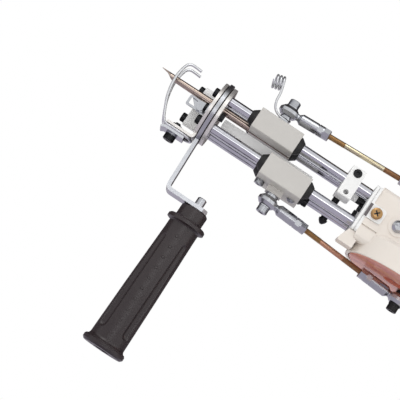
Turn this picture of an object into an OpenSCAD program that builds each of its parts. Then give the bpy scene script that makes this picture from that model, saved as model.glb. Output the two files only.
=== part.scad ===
// Tufting tool: needle and scissor carriages on four guide shafts, driven by a crank.
// The tool's own frame has x = 0 at the rear face of the front discs, the needle
// towards -X, and z = 0 on the middle of the four guide shafts.

/* [Stance] */
// Height of the shaft centre line above the surface under both handles
stand_h = 194.5; // [190:0.5:220]

/* [Front discs] */
// Diameter of the round front and back discs
disc_d = 50; // [47:0.5:56]
// Thickness of the back disc
back_disc_t = 2.7; // [2:0.1:4]
// Thickness of the gasket behind the strip
back_gasket_t = 0.9; // [0.5:0.1:1.5]
// Thickness of the handle bracket's strip
strip_t = 3; // [2:0.5:4]
// Thickness of the gasket in front of the strip
gasket_t = 1; // [0.5:0.5:2]
// Thickness of the front disc
front_disc_t = 2.5; // [1.5:0.5:4]

/* [Guide shafts] */
// Diameter of each of the four guide shafts
shaft_d = 8; // [6:0.5:9]
// Distance between shaft centres, across and up
shaft_pitch = 24.5; // [24.5:0.5:26]
// Length of the shafts between the discs and the rear plates
shaft_len = 126.4; // [120:0.2:150]

/* [Needle] */
// Height of the needle's centre line above the middle of the shafts
needle_z = 6.4; // [6:0.1:6.8]
// Outer diameter of the needle tube in its seat
needle_d = 5.4; // [5:0.1:5.8]
// Outer diameter of the needle at its point
needle_tip_d = 4.6; // [4.4:0.1:5]
// Bore of the needle tube, which the yarn runs through
needle_bore = 3.8; // [2.6:0.1:3.9]
// How far the needle's point stands in front of the back disc's rear face
needle_reach = 57.75; // [50:0.25:64]
// Length of the slanted cut at the needle's point
point_len = 12; // [8:0.5:16]
// Outer diameter of the shank tube behind the needle
shank_d = 6.4; // [6.2:0.1:7]

/* [Carriages] */
// Length of both carriage blocks
block_len = 36.8; // [34:0.4:38]
// Height of the needle carriage's block
needle_block_h = 17.2; // [16.8:0.2:18.4]
// Height of the scissor carriage's block
scissor_block_h = 18; // [17.8:0.2:18.4]
// How far the scissor block's middle lies below its shafts
scissor_block_drop = 1; // [0:0.1:1.1]
// Width of both carriage blocks
block_w = 44; // [42:0.5:48]
// Place of the needle carriage's pivot at rest
needle_car_x = 41; // [38:0.5:44]
// Place of the scissor carriage's pivot at rest
scissor_car_x = 65; // [62:0.5:68]
// How far each block's middle sits behind its pivot
block_back = 0.7; // [0:0.1:1.5]
// Outer diameter of the linear bearings
bearing_d = 15; // [13:0.5:15.5]
// Length of the linear bearings
bearing_len = 46.6; // [45:0.2:47.4]
// Length of the dark seal at each bearing's end
seal_len = 4.9; // [4:0.1:4.9]

/* [Crank] */
// Distance from the rear plates to the crankshaft's axis
crank_back = 44.8; // [44:0.2:48]
// Radius of the crank pins' circle
crank_r = 16; // [14:0.5:17]
// Angle of the needle's crank pin at rest, seen from above
needle_pin_deg = -98.6; // [-110:0.2:-80]
// Angle of the scissors' crank pin at rest, seen from above
scissor_pin_deg = 44.6; // [30:0.2:60]
// Radius of the lower crank disc
lower_disc_r = 38.6; // [36:0.2:40]
// Radius of the upper crank disc
upper_disc_r = 28; // [27:0.5:32]
// Thickness of both crank discs
crank_disc_t = 6; // [5:0.5:7]
// Height of the upper crank disc's face above the shafts' middle
upper_face_z = 28.5; // [28:0.25:29]
// Depth of the lower crank disc's face below the shafts' middle
lower_face_z = 32; // [31.5:0.25:32]
// Diameter of the crankshaft in its bearings
crankshaft_d = 10; // [8:0.5:12]

/* [Connecting rods] */
// Height of the upper rod's ball above the middle of the shafts
upper_ball_z = 33.5; // [33:0.5:36]
// Depth of the lower rod's ball below the middle of the shafts
lower_ball_z = 33.1; // [32.6:0.5:36]
// Distance from each crank disc's face to the ball on its pin
crank_ball_rise = 7; // [6.8:0.1:7.6]
// Outer diameter of a rod end's ring
ring_d = 16.4; // [15.6:0.2:17.6]
// Thickness of a rod end's ring
ring_t = 7.4; // [6.6:0.2:7.6]
// Diameter of the ball in a rod end
ball_d = 11.1; // [10.4:0.1:12]
// Width of the ball across its flats
ball_w = 8; // [7.5:0.1:8.5]
// Distance from a ring's centre to the end of its shank
rod_end_len = 31; // [27:0.5:33]
// Diameter of a rod end's shank
rod_shank_d = 9; // [8:0.5:10]
// Diameter of the threaded rod
rod_d = 4.6; // [4:0.1:5]
// Width across flats of the rod's lock nuts
rod_nut_af = 8; // [7.5:0.5:9]
// Diameter of the pivot bolts
pivot_d = 5; // [4:0.5:5]

/* [Front handle] */
// Angle that the bracket's strip leans back from upright
strip_lean = 1; // [0:0.2:4]
// Width of the bracket's strip
strip_w = 18; // [14:0.5:22]
// Depth of the bracket's lower leg below the middle of the shafts
strip_drop = 68.9; // [62:0.2:72]
// Place of the front handle's axis behind the discs
grip_x = 23.5; // [21:0.5:26]
// Diameter of the stud through the front handle
stud_d = 8; // [6:0.5:8]
// Diameter of the grip's body at its top
grip_top_d = 25; // [22:0.5:28]
// Diameter of the grip's body at its bottom
grip_low_d = 29; // [24:0.5:31]
// Diameter of the flange near the grip's top
grip_flange_d = 31.5; // [30:0.5:36]
// Diameter of the flange at the grip's bottom
grip_foot_d = 35; // [32:0.5:40]
// Pitch of the grip's row of small bumps
bump_pitch = 9.3; // [8.5:0.1:10]

/* [Presser foot] */
// Diameter of the presser foot's wire
foot_wire_d = 2.2; // [1.6:0.1:2.4]
// Distance between the foot's two prongs
foot_gap = 17; // [14:0.5:20]

/* [Shaft bridge] */
// Distance from the bridge block's front face to the rear plates
bridge_gap = 22.9; // [21:0.1:24]
// Length of the bridge block along the shafts
bridge_len = 11.5; // [10:0.5:12.5]
// Height of the bridge block
bridge_h = 24.5; // [24:0.5:26]

/* [Body] */
// Thickness of each of the two rear plates
rear_plate_t = 2.4; // [1.6:0.2:3]
// How far the body's flanks lean in at the top
flank_in = 3; // [1:0.5:4]
// Width of the rear plates and of the body
body_w = 54; // [50:0.5:60]
// Height of the gear housing's top above the middle of the shafts
body_top = 21; // [20:0.5:21.5]
// Depth of the gear housing's bottom below the middle of the shafts
body_low = 25; // [23:0.5:26]
// Wall thickness of the body's shells
wall = 2.5; // [2:0.25:3]
// Diameter of the motor
motor_d = 46; // [40:0.5:46]
// Length of the motor's can
motor_len = 66; // [56:0.5:72]
// Height of the body around the motor, above and below its axis
motor_body_r = 28; // [27:0.5:30]
// Lean of the rear handle from upright
rear_lean = 8; // [4:0.5:11]
// Thickness of the rear handle, front to back
rear_grip_t = 40; // [36:0.5:46]
// Width of the rear handle
rear_grip_w = 36; // [34:0.5:44]
// How far the trigger can be pressed
trigger_travel = 5; // [3:0.5:6]

/* [Fits] */
// Gap round a piece that is fixed in its hole
fit = 0.02; // [0.01:0.01:0.05]
// Gap round a piece that turns or slides in its hole
run = 0.05; // [0.02:0.01:0.1]
// Least gap between pieces that move past each other
clear = 0.4; // [0.3:0.05:0.5]

/* [Hidden] */
$fn = 48;
dark = [0.12, 0.12, 0.13];
back_disc_x = -back_disc_t;
back_gasket_x = back_disc_x - back_gasket_t;
strip_x = back_gasket_x - strip_t;
gasket_x = strip_x - gasket_t;
front_x = gasket_x - front_disc_t;
tip_x = -needle_reach;
plate_x = shaft_len;
body_x = shaft_len + 2 * rear_plate_t;
half_pitch = shaft_pitch / 2;
needle_mid_x = needle_car_x + block_back;
scissor_mid_x = scissor_car_x + block_back;
block_low = half_pitch - needle_block_h / 2;
block_top = half_pitch + needle_block_h / 2;
scissor_low = -half_pitch - scissor_block_drop - scissor_block_h / 2;
strip_top_r = disc_d / 2 + 1.3;
strip_bend_z = -strip_top_r;
shaft_bore = shaft_d + 2 * run;
hole_clear = shank_d + 2 * clear;
wire_r = foot_wire_d / 2;
tab_t = 2;
tab_low_z = -disc_d / 2 - 1.4;
disc_cut_z = -disc_d / 2 + 4;
wire_z = tab_low_z - wire_r;
clamp_top_z = wire_z - wire_r;
clamp_t = 2;
washer_t = 1;
tab_front_x = -31.5;
foot_screw_x = -23.6;
cap_head_d = 7;
cap_head_h = 4;
screw_d = 4;
hex_af = 3;
big_head_d = 8.5;
big_head_h = 5;
big_hex_af = 4;
bar_t = 3;
bar_top = 1.5;
bar_h = 7;
bar_front_x = 4;
bar_back_x = scissor_mid_x + block_len / 2 - 1;
blade_t = 1.5;
blade_gap = 0.1;
pivot_x = -17;
pivot_z = -2.8;
blade_pin_d = 3.4;
blade_head_d = 5;
moving_y = -bar_t / 2 - clear - blade_t;
fixed_y = moving_y - blade_gap - blade_t;
bridge_x = shaft_len - bridge_gap;
crank_x = body_x + crank_back;
upper_pin = [crank_x + crank_r * cos(needle_pin_deg), crank_r * sin(needle_pin_deg)];
lower_pin = [crank_x + crank_r * cos(scissor_pin_deg), crank_r * sin(scissor_pin_deg)];
pin_gap = 0.3;
pin_spacer_t = crank_ball_rise - ball_w / 2 - pin_gap;
leg_low_z = -strip_drop;
leg_back_x = grip_x + 8.5;
stud_top_z = leg_low_z + strip_t + 7;
stud_end_d = stud_d - 0.6;
grip_collar_d = 22;
tab_w = 20;
clamp_w = 18;
foot_screw_len = 10.7;
thread_deep = 14;
mount_t = 12;
blade_screw_y = -8.8;
blade_screw_z = -0.6;
bolt_low_z = 10.5;
lower_bolt_z = -12;
grub_at = [-11, 11];
shank_front_x = -7;
needle_seat = 15;
guide_wire_d = 1.9;
guide_wire_z = 26;
coil_r = 5.05;
coil_pitch = 2.7;
coil_turns = 3;
coil_lean = 14.3;
coil_at = [25.2, 0, 49.6];
bar_screw_at = [-13.5, 13.5];
bar_screw_d = 2.5;
rear_screw_z = -17.6;
lug_len = 13.1;
lug_w = 12;
lug_low_z = -26.9;
rod_seat = 9;
nut_t = 5;
bridge_low_z = -2.1;
bridge_step_z = bridge_low_z + 4.7;
bridge_step_y = -2;
bridge_mid_x = bridge_x + bridge_len / 2;
bridge_screw_z = bridge_low_z + 20.1;
bridge_hole_z = bridge_low_z + 3.6;
bridge_hole_d = 4;
bridge_head_d = 6.2;
bridge_head_y = -block_w / 2 + cap_head_h - 1;
bridge_screw_len = 5;
post_d = 5.6;
post_x = bridge_x + 4;
post_y = half_pitch + shaft_d / 2 + post_d / 2 + 0.35;
post_tip_d = 7.1;
post_tip_z = -half_pitch - shaft_d / 2 - 0.6;
post_tip_h = 4.2;
tie_z = 5.9;
tie_spacer_d = 5.4;
tie_spacer_len = 5;
shim_t = 0.5;
stub_screw_y = [-4, 22];
stub_screw_z = 0.6;
post_pin_d = 2.5;
plate_low_z = -20;
plate_top_z = 18.6;
side_tab_t = 1.6;
side_tab_h = 11.8;
side_tab_len = 11.8;
side_tab_x = body_x + 5.5;
side_tab_z = -1.3;
barrel_x = crank_x + lower_disc_r + 1.5;
motor_x = barrel_x + 5.5;
tail_x = motor_x + motor_len + 20;
handle_back = 40;
handle_x = motor_x + handle_back;
handle_len = (stand_h - 8) / cos(rear_lean);
base_x = handle_x + tan(rear_lean) * (stand_h - 12);
base_len = 72;
base_w = 58;
base_h = 12;
lip_top_z = -17;
lip_low_z = -31.9;
lip_out = 9.5;
lip_y = [-24, -10];
skirt_r = lower_disc_r + 3.3;
skirt_top_z = -12;
flank_z = 2.7;
pad_low_z = -12.7;
pad_len = 13;
hub_r = 8;
case_screw_x = [crank_x - 20.7, crank_x + 20];
case_screw_z = -0.3;
frame_x0 = crank_x - 34;
frame_x1 = crank_x + 32;
crank_bearing_d = 26;
crank_bearing_t = 7;
bevel_r = 21;
bevel_ratio = 3;
bevel_gap = 0.35;
motor_shaft_d = 5;
trigger_z = -62;
trigger_w = 14;
trigger_h = 30;
switch_w = 12;
switch_h = 20;
trigger_in = 9;
switch_x = grip_x_at(trigger_z) - rear_grip_t / 2 + trigger_in + trigger_travel + clear;
knob_z = -112;
knob_x = grip_x_at(knob_z) + rear_grip_t / 2 + 2.5;
knob_shaft_d = 6;
inlet_z = -138;
inlet_x = grip_x_at(inlet_z) + rear_grip_t / 2 + 1.2;
inlet_d = 12;
inlet_bore = 5.5;
handle_screw_z = [-92, -stand_h + 44.5];
mid_x = (tip_x + base_x + base_len / 2) / 2;

// Place of the rear handle's axis along X at height z
function grip_x_at(z) = handle_x - z * tan(rear_lean);

// Corner b between a and c, rounded to radius r by n short steps
function corner(a, b, c, r, n) =
    let(u = (a - b) / norm(a - b))
    let(v = (c - b) / norm(c - b))
    let(half = acos(u * v) / 2)
    let(o = b + (u + v) / norm(u + v) * r / sin(half))
    let(p = b + u * r / tan(half) - o)
    let(q = b + v * r / tan(half) - o)
    let(from = atan2(p[1], p[0]))
    let(turn = (atan2(q[1], q[0]) - from + 540) % 360 - 180)
    [for (i = [0:n]) o + r * [cos(from + turn * i / n), sin(from + turn * i / n)]];

// An outline from corners [x, y, radius]
function outline(pts, n = 4) =
    [for (i = [0:len(pts) - 1])
        let(a = pts[(i + len(pts) - 1) % len(pts)])
        let(b = pts[i])
        let(c = pts[(i + 1) % len(pts)])
        each b[2] == 0
            ? [[b[0], b[1]]]
            : corner([a[0], a[1]], [b[0], b[1]], [c[0], c[1]], b[2], n)];

function unit(v) = v / norm(v);
function across(v, t) = unit(v - (v * t) * t);

// Point at k, from 0 to 1, between q and r of a smooth curve through p, q, r and s
function blend_point(p, q, r, s, k) =
    ((2 * q) + (r - p) * k + (2 * p - 5 * q + 4 * r - s) * k * k
    + (3 * q - p - 3 * r + s) * k * k * k) / 2;

// A smooth path through chosen points, with n steps between each two
function smooth(pts, n) =
    let(last = len(pts) - 1)
    [for (i = [0:last - 1], j = [0:n - 1])
        blend_point(pts[max(i - 1, 0)], pts[i], pts[i + 1], pts[min(i + 2, last)], j / n),
        pts[last]];

// A round wire along a path of points
module wire(path, r, sides = 8, side = [0, 1, 0]) {
    last = len(path) - 1;
    heading = [for (i = [0:last]) unit(path[min(i + 1, last)] - path[max(i - 1, 0)])];
    normals = [for (i = 0, v = across(side, heading[0]);
        i <= last;
        i = i + 1, v = i <= last ? across(v, heading[i]) : v) v];
    points = [for (i = [0:last], j = [0:sides - 1])
        path[i] + r * (cos(360 * j / sides) * normals[i]
        + sin(360 * j / sides) * cross(heading[i], normals[i]))];
    walls = [for (i = [0:last - 1], j = [0:sides - 1])
        each [
            [i * sides + j, (i + 1) * sides + j, (i + 1) * sides + (j + 1) % sides],
            [i * sides + j, (i + 1) * sides + (j + 1) % sides, i * sides + (j + 1) % sides]]];
    start = [for (j = [0:sides - 1]) j];
    end = [for (j = [0:sides - 1]) last * sides + sides - 1 - j];
    polyhedron(points, concat(walls, [start, end]));
}

module gun() {
    translate([-mid_x, 0, stand_h]) children();
}

module rod_x(x0, x1, y, z, d) {
    translate([x0, y, z]) rotate([0, 90, 0]) cylinder(d = d, h = x1 - x0);
}

module rod_y(x, y0, y1, z, d) {
    translate([x, y1, z]) rotate([90, 0, 0]) cylinder(d = d, h = y1 - y0);
}

module rod_z(x, y, z0, z1, d) {
    translate([x, y, z0]) cylinder(d = d, h = z1 - z0);
}

// Extrudes an outline drawn in X and Z from y0 to y1
module side_slab(y0, y1) {
    translate([0, y1, 0]) rotate([90, 0, 0]) linear_extrude(y1 - y0) children();
}

// Extrudes an outline drawn in Y and Z from x0 to x1
module cross_slab(x0, x1) {
    translate([x0, 0, 0]) rotate([90, 0, 90]) linear_extrude(x1 - x0) children();
}

// A cap screw whose head sits on z = 0 and whose shank goes down
module cap_screw(head_d, head_h, d, length, af) {
    difference() {
        union() {
            translate([0, 0, head_h - 0.4]) cylinder(d1 = head_d, d2 = head_d - 0.8, h = 0.4);
            cylinder(d = head_d, h = head_h - 0.4);
            translate([0, 0, -length]) cylinder(d = d, h = length);
        }
        translate([0, 0, head_h / 2]) cylinder(d = af / cos(30), h = head_h, $fn = 6);
    }
}

// A pan-head screw whose head sits on z = 0 and whose shank goes down
module pan_screw(head_d, head_h, d, length) {
    slot_w = head_d / 7;
    difference() {
        union() {
            cylinder(d = head_d, h = head_h * 0.4);
            translate([0, 0, head_h * 0.4]) cylinder(d1 = head_d, d2 = head_d * 0.6, h = head_h * 0.6);
            translate([0, 0, -length]) cylinder(d = d, h = length);
        }
        for (a = [0, 90]) rotate(a) {
            translate([-head_d * 0.27, -slot_w / 2, head_h * 0.4]) cube([head_d * 0.54, slot_w, head_h]);
        }
    }
}

// The four places of the guide shafts
module at_shafts(levels = [-1, 1]) {
    for (y = [-1, 1], z = levels) translate([0, y * half_pitch, z * half_pitch]) children();
}

// Front discs and the bracket

module disc_holes(x0, x1) {
    rod_x(x0 - 1, x1 + 1, 0, needle_z, hole_clear);
    translate([x0 - 1, moving_y - clear, bar_top - bar_h - clear])
        cube([x1 - x0 + 2, bar_t + clear + blade_t + 2 * clear, bar_h + 2 * clear]);
    at_shafts() rod_x(x0 - 1, x1 + 1, 0, 0, screw_d + 2 * fit);
    rod_x(x0 - 1, x1 + 1, blade_screw_y, blade_screw_z, screw_d + 2 * fit);
}

module back_disc() {
    color("silver") gun() difference() {
        rod_x(back_disc_x, 0, 0, 0, disc_d);
        disc_holes(back_disc_x, 0);
    }
}

module disc_gasket() {
    color("dimgray") gun() difference() {
        union() {
            rod_x(gasket_x, strip_x, 0, 0, disc_d - 3);
            rod_x(back_gasket_x, back_disc_x, 0, 0, disc_d - 3);
        }
        disc_holes(gasket_x, back_disc_x);
    }
}

module handle_bracket() {
    lean = tan(strip_lean) * (-strip_bend_z - leg_low_z);
    color("gainsboro") gun() difference() {
        union() {
            rod_x(strip_x, back_gasket_x, 0, 0, 2 * strip_top_r);
            side_slab(-strip_w / 2, strip_w / 2) polygon(outline([
                [strip_x, -disc_d / 4, 0],
                [strip_x, strip_bend_z, 1],
                [strip_x + lean, leg_low_z, strip_t + 2],
                [leg_back_x, leg_low_z, 0],
                [leg_back_x, leg_low_z + strip_t, 0],
                [back_gasket_x + lean, leg_low_z + strip_t, 2],
                [back_gasket_x, strip_bend_z - 0.3, 1],
                [back_gasket_x, -disc_d / 4, 0]]));
        }
        disc_holes(strip_x, back_gasket_x);
        rod_z(grip_x, 0, leg_low_z - 1, leg_low_z + strip_t + 1, stud_d + 2 * fit);
        for (y = [-1, 1]) translate([leg_back_x, y * strip_w / 2, leg_low_z - 1])
            rotate([0, 0, 45]) cube([5, 5, 3 * strip_t], center = true);
    }
}

module front_disc() {
    color("gainsboro") gun() difference() {
        union() {
            rod_x(front_x, gasket_x, 0, 0, disc_d);
            side_slab(-tab_w / 2, tab_w / 2) polygon(outline([
                [gasket_x, -disc_d / 4, 0],
                [gasket_x, tab_low_z, tab_t + 1],
                [tab_front_x, tab_low_z, 0.8],
                [tab_front_x, tab_low_z + tab_t, 0.8],
                [front_x, tab_low_z + tab_t, 1],
                [front_x, -disc_d / 4, 0]]));
        }
        disc_holes(front_x, gasket_x);
        for (side = [-1, 1])
            translate([front_x - 1, side * (tab_w + disc_d) / 2 - disc_d / 2, disc_cut_z - disc_d])
                cube([front_disc_t + 2, disc_d, disc_d]);
        rod_z(foot_screw_x, 0, tab_low_z - 1, tab_low_z + tab_t + 1, screw_d + 2 * fit);
    }
}

// Presser foot

function foot_path() =
    let(y = foot_gap / 2)
    let(prong = [
        [-30.75, -y, 20.4], [-36, -y, 20.8], [-40, -y, 20.5], [-42.9, -y, 17.6],
        [-44.6, -y, 9], [-44.2, -y, 0.8], [-42, -y, -9.1], [-38.4, -y, -17.6],
        [-34.9, -y, wire_z + 3], [-31.2, -y, wire_z], [-25, -y, wire_z],
        [-17, -y, wire_z]])
    let(half = smooth(prong, 3))
    let(loop = [for (a = [15:15:165]) [-17 + y * sin(a), -y * cos(a), wire_z]])
    concat(half, loop, [for (i = [len(half) - 1:-1:0]) [half[i][0], y, half[i][2]]]);

module presser_foot() {
    color("silver") gun() wire(foot_path(), wire_r);
}

module clamp_plate() {
    low = clamp_top_z - clamp_t;
    color("silver") gun() difference() {
        side_slab(-clamp_w / 2, clamp_w / 2) polygon(outline([
            [tab_front_x - 1.5, low - 1.2, 0.5],
            [tab_front_x + 1, low, 0.5],
            [-14, low, 0.5],
            [-14, clamp_top_z, 0.5],
            [tab_front_x + 0.5, clamp_top_z, 0.5],
            [tab_front_x - 2.5, clamp_top_z - 2, 0.5]]));
        rod_z(foot_screw_x, 0, low - 2, clamp_top_z + 1, screw_d + 2 * fit);
    }
}

module foot_clamp_screw() {
    low = clamp_top_z - clamp_t;
    color(dark) gun() translate([foot_screw_x, 0, low - washer_t])
        rotate([180, 0, 0]) cap_screw(big_head_d, big_head_h, screw_d, foot_screw_len, hex_af);
}

module foot_clamp_washer() {
    low = clamp_top_z - clamp_t;
    color("silver") gun() difference() {
        rod_z(foot_screw_x, 0, low - washer_t, low, big_head_d + 1);
        rod_z(foot_screw_x, 0, low - washer_t - 1, low + 1, screw_d + 2 * fit);
    }
}

module foot_clamp_nut() {
    color(dark) gun() difference() {
        translate([foot_screw_x, 0, tab_low_z + tab_t]) cylinder(d = 8, h = 2.2, $fn = 6);
        rod_z(foot_screw_x, 0, tab_low_z, tab_low_z + 6, screw_d + 2 * fit);
    }
}

// Front handle

module grip_stud() {
    color("silver") gun() {
        rod_z(grip_x, 0, -stand_h + 8, leg_low_z + strip_t, stud_d);
        rod_z(grip_x, 0, leg_low_z + strip_t, stud_top_z - 0.6, stud_end_d);
        translate([grip_x, 0, stud_top_z - 0.6]) cylinder(d1 = stud_end_d, d2 = stud_end_d - 1.2, h = 0.6);
    }
}

module front_grip() {
    low = -stand_h;
    top = leg_low_z;
    color(dark) gun() translate([grip_x, 0, 0]) difference() {
        union() {
            rotate_extrude() polygon(concat(
                [[0, low], [grip_foot_d / 2 - 1.5, low], [grip_foot_d / 2, low + 1.5],
                [grip_foot_d / 2, low + 4], [grip_foot_d / 2 - 0.8, low + 5]],
                [for (a = [0:15:90]) [
                    grip_low_d / 2 + 2.2 * (1 - sin(a)), low + 5.2 + 3 * (1 - cos(a))]],
                [[(grip_top_d * 0.35 + grip_low_d * 0.65) / 2, low + 50],
                [grip_top_d / 2, top - 22]],
                [for (a = [0:15:90]) [
                    grip_top_d / 2 + 2.2 * (1 - cos(a)), top - 16.5 + 1.5 * sin(a)]],
                [[grip_flange_d / 2, top - 14.5], [grip_flange_d / 2, top - 12],
                [grip_flange_d / 2 - 1, top - 11], [grip_collar_d / 2 + 0.6, top - 10.6],
                [grip_collar_d / 2, top - 9.6], [grip_collar_d / 2, top - 1.2],
                [grip_collar_d / 2 - 1.2, top], [0, top]]));
            for (turn = [0, 180], i = [0:8])
                grip_bump(turn, top - 26 - i * bump_pitch);
        }
        rod_z(0, 0, low + 8 - 0.02, top + 1, stud_d + 2 * fit);
        rod_z(0, 0, low - 1, low + 5, 13);
        for (side = [0:3]) rotate(45 + side * 90) grip_panel();
    }
}

// A small raised bump on the grip's side, facing -Y turned by angle
module grip_bump(angle, z) {
    k = (z - leg_low_z + 22) / (-stand_h + 50 - leg_low_z + 22);
    r = grip_top_d / 2 + max(0, min(1, k)) * (grip_low_d - grip_top_d) * 0.65 / 2;
    rotate(angle) translate([0, -r + 0.9, z]) rotate([90, 0, 0])
        cylinder(d1 = 3.2, d2 = 2, h = 1.5, $fn = 16);
}

// A long shallow recess with round ends
module grip_panel() {
    top = leg_low_z - 30;
    low = -stand_h + 18;
    translate([grip_low_d / 2 + 1.8, 0, low]) cylinder(d = 9, h = top - low);
    for (z = [low, top]) translate([grip_low_d / 2 + 1.8, 0, z]) sphere(d = 9);
}

// Guide shafts and what is screwed to their front ends

module guide_shaft_set() {
    color("silver") gun() at_shafts() difference() {
        union() {
            rod_x(0.6, shaft_len - 0.6, 0, 0, shaft_d);
            rotate([0, 90, 0]) cylinder(d1 = shaft_d - 1.2, d2 = shaft_d, h = 0.6);
            translate([shaft_len - 0.6, 0, 0]) rotate([0, 90, 0])
                cylinder(d1 = shaft_d, d2 = shaft_d - 1.2, h = 0.6);
        }
        for (x = [-1, shaft_len - thread_deep]) rod_x(x, x + thread_deep + 1, 0, 0, screw_d + 2 * fit);
    }
}

module front_shaft_screws() {
    color(dark) gun() for (z = [-1, 1]) {
        translate([front_x, -half_pitch, z * half_pitch]) rotate([0, -90, 0])
            cap_screw(cap_head_d, cap_head_h, screw_d, thread_deep - 3 - front_x, hex_af);
        translate([front_x - mount_t, half_pitch, z * half_pitch]) rotate([0, -90, 0])
            cap_screw(cap_head_d, cap_head_h, screw_d, thread_deep - 3 - front_x + mount_t, hex_af);
    }
}

module scissor_mount_block() {
    color("whitesmoke") gun() difference() {
        cross_slab(front_x - mount_t, front_x) polygon(outline([
            [half_pitch - 4.5, -half_pitch - 5, 1.5],
            [half_pitch + 4.5, -half_pitch - 5, 3],
            [half_pitch + 4.5, half_pitch + 5, 4.2],
            [half_pitch - 4.5, half_pitch + 5, 4.2]]));
        for (z = [-1, 1])
            rod_x(front_x - mount_t - 1, front_x + 1, half_pitch, z * half_pitch, screw_d + 2 * fit);
        rod_x(front_x - mount_t - 1, front_x - 3, half_pitch, 0, 5);
    }
}

// Scissors

module fixed_blade_plate() {
    color("gainsboro") gun() difference() {
        union() {
            side_slab(fixed_y, fixed_y + blade_t) difference() {
                polygon(outline([
                    [front_x, -4.6, 0], [-19.5, -6, 2], [-28, -6, 1.5],
                    [-28, 2.7, 1.5], [-19.8, 2.4, 0], [front_x, 3.2, 0]]));
                polygon(outline([
                    [-20.6, -4.2, 0.8], [-26.2, -4.2, 0.8], [-26.2, 1.2, 0.5], [-20.6, 0.9, 0.5]]));
            }
            translate([front_x - blade_t, blade_screw_y - 4, -4.6])
                cube([blade_t, fixed_y + blade_t - blade_screw_y + 4, 7.8]);
        }
        rod_y(pivot_x, fixed_y - 1, fixed_y + 3, pivot_z, blade_pin_d + 2 * fit);
        rod_x(front_x - 3, front_x + 1, blade_screw_y, blade_screw_z, screw_d + 2 * fit);
    }
}

module blade_pivot() {
    color("silver") gun() {
        rod_y(pivot_x, fixed_y, moving_y + blade_t, pivot_z, blade_pin_d);
        rod_y(pivot_x, fixed_y - 1.6, fixed_y, pivot_z, blade_head_d);
    }
}

module moving_blade() {
    color("silver") gun() difference() {
        side_slab(moving_y, moving_y + blade_t) polygon(outline([
            [pivot_x + 4.6, pivot_z - 3.4, 1],
            [pivot_x - 1.6, pivot_z - 3.4, 3],
            [-25.8, 1.6, 0.3],
            [-26.6, 2.7, 0.3],
            [pivot_x - 0.5, pivot_z + 3.6, 2.5],
            [pivot_x + 4.6, pivot_z + 0.6, 1]]));
        rod_y(pivot_x, moving_y - 1, moving_y + 3, pivot_z, blade_pin_d + 2 * run);
    }
}

module blade_screw() {
    color(dark) gun() translate([front_x - blade_t, blade_screw_y, blade_screw_z])
        rotate([0, -90, 0]) cap_screw(cap_head_d, 2.6, screw_d, blade_t - front_x + 3, hex_af);
}

module blade_nut() {
    color([0.8, 0.7, 0.62]) gun() difference() {
        translate([0, blade_screw_y, blade_screw_z]) rotate([0, 90, 0])
            cylinder(d = 6 / cos(30), h = 3.2, $fn = 6);
        rod_x(-1, 4, blade_screw_y, blade_screw_z, screw_d + 2 * fit);
    }
}

// Carriages

module carriage_block(x, low, high, edge = 1) {
    cross_slab(x - block_len / 2, x + block_len / 2) polygon(outline([
        [-block_w / 2, low, edge], [block_w / 2, low, edge],
        [block_w / 2, high, edge], [-block_w / 2, high, edge]]));
}

module bearing_tubes(x, z) {
    half = bearing_len / 2 - seal_len;
    for (y = [-1, 1]) difference() {
        rod_x(x - half, x + half, y * half_pitch, z, bearing_d);
        rod_x(x - half - 1, x + half + 1, y * half_pitch, z, shaft_bore);
    }
}

module bearing_seals(x, z) {
    half = bearing_len / 2;
    for (y = [-1, 1], end = [-1, 1]) translate([x, y * half_pitch, z])
        rotate([0, end * 90, 0]) difference() {
            union() {
                translate([0, 0, half - seal_len]) cylinder(d = bearing_d, h = seal_len * 0.2);
                translate([0, 0, half - seal_len * 0.8])
                    cylinder(d1 = bearing_d, d2 = shaft_d + 1.2, h = seal_len * 0.8);
            }
            cylinder(d = shaft_bore, h = half + 1);
        }
}

module needle_block() {
    color("lightgray") gun() difference() {
        carriage_block(needle_mid_x, block_low, block_top);
        for (y = [-1, 1])
            rod_x(needle_car_x - block_len, needle_car_x + block_len,
                y * half_pitch, half_pitch, bearing_d + 2 * fit);
        rod_x(needle_car_x - block_len, needle_car_x + block_len, 0, needle_z, shank_d + 2 * fit);
        translate([needle_car_x - block_len, -shank_d * 0.32, block_low - 1])
            cube([2 * block_len, shank_d * 0.64, needle_z - block_low + 1]);
        rod_z(needle_car_x, 0, bolt_low_z - 0.5, block_top + 1, pivot_d + 2 * fit);
        for (x = grub_at) rod_z(needle_car_x + x, 0, needle_z, block_top + 1, screw_d + 2 * fit);
    }
}

module needle_bearings() {
    color("silver") gun() bearing_tubes(needle_mid_x, half_pitch);
}

module needle_bearing_seals() {
    color(dark) gun() bearing_seals(needle_mid_x, half_pitch);
}

module needle_grub_screws() {
    color(dark) gun() for (x = grub_at) difference() {
        rod_z(needle_car_x + x, 0, needle_z + shank_d / 2 + fit, block_top - 3, screw_d);
        translate([needle_car_x + x, 0, block_top - 6])
            cylinder(d = 2 / cos(30), h = 5, $fn = 6);
    }
}

module needle_shank() {
    color([0.72, 0.66, 0.6]) gun() difference() {
        rod_x(shank_front_x, needle_mid_x + block_len / 2 - 0.5, 0, needle_z, shank_d);
        rod_x(shank_front_x - 1, needle_mid_x + block_len, 0, needle_z, needle_d + 2 * fit);
    }
}

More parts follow.
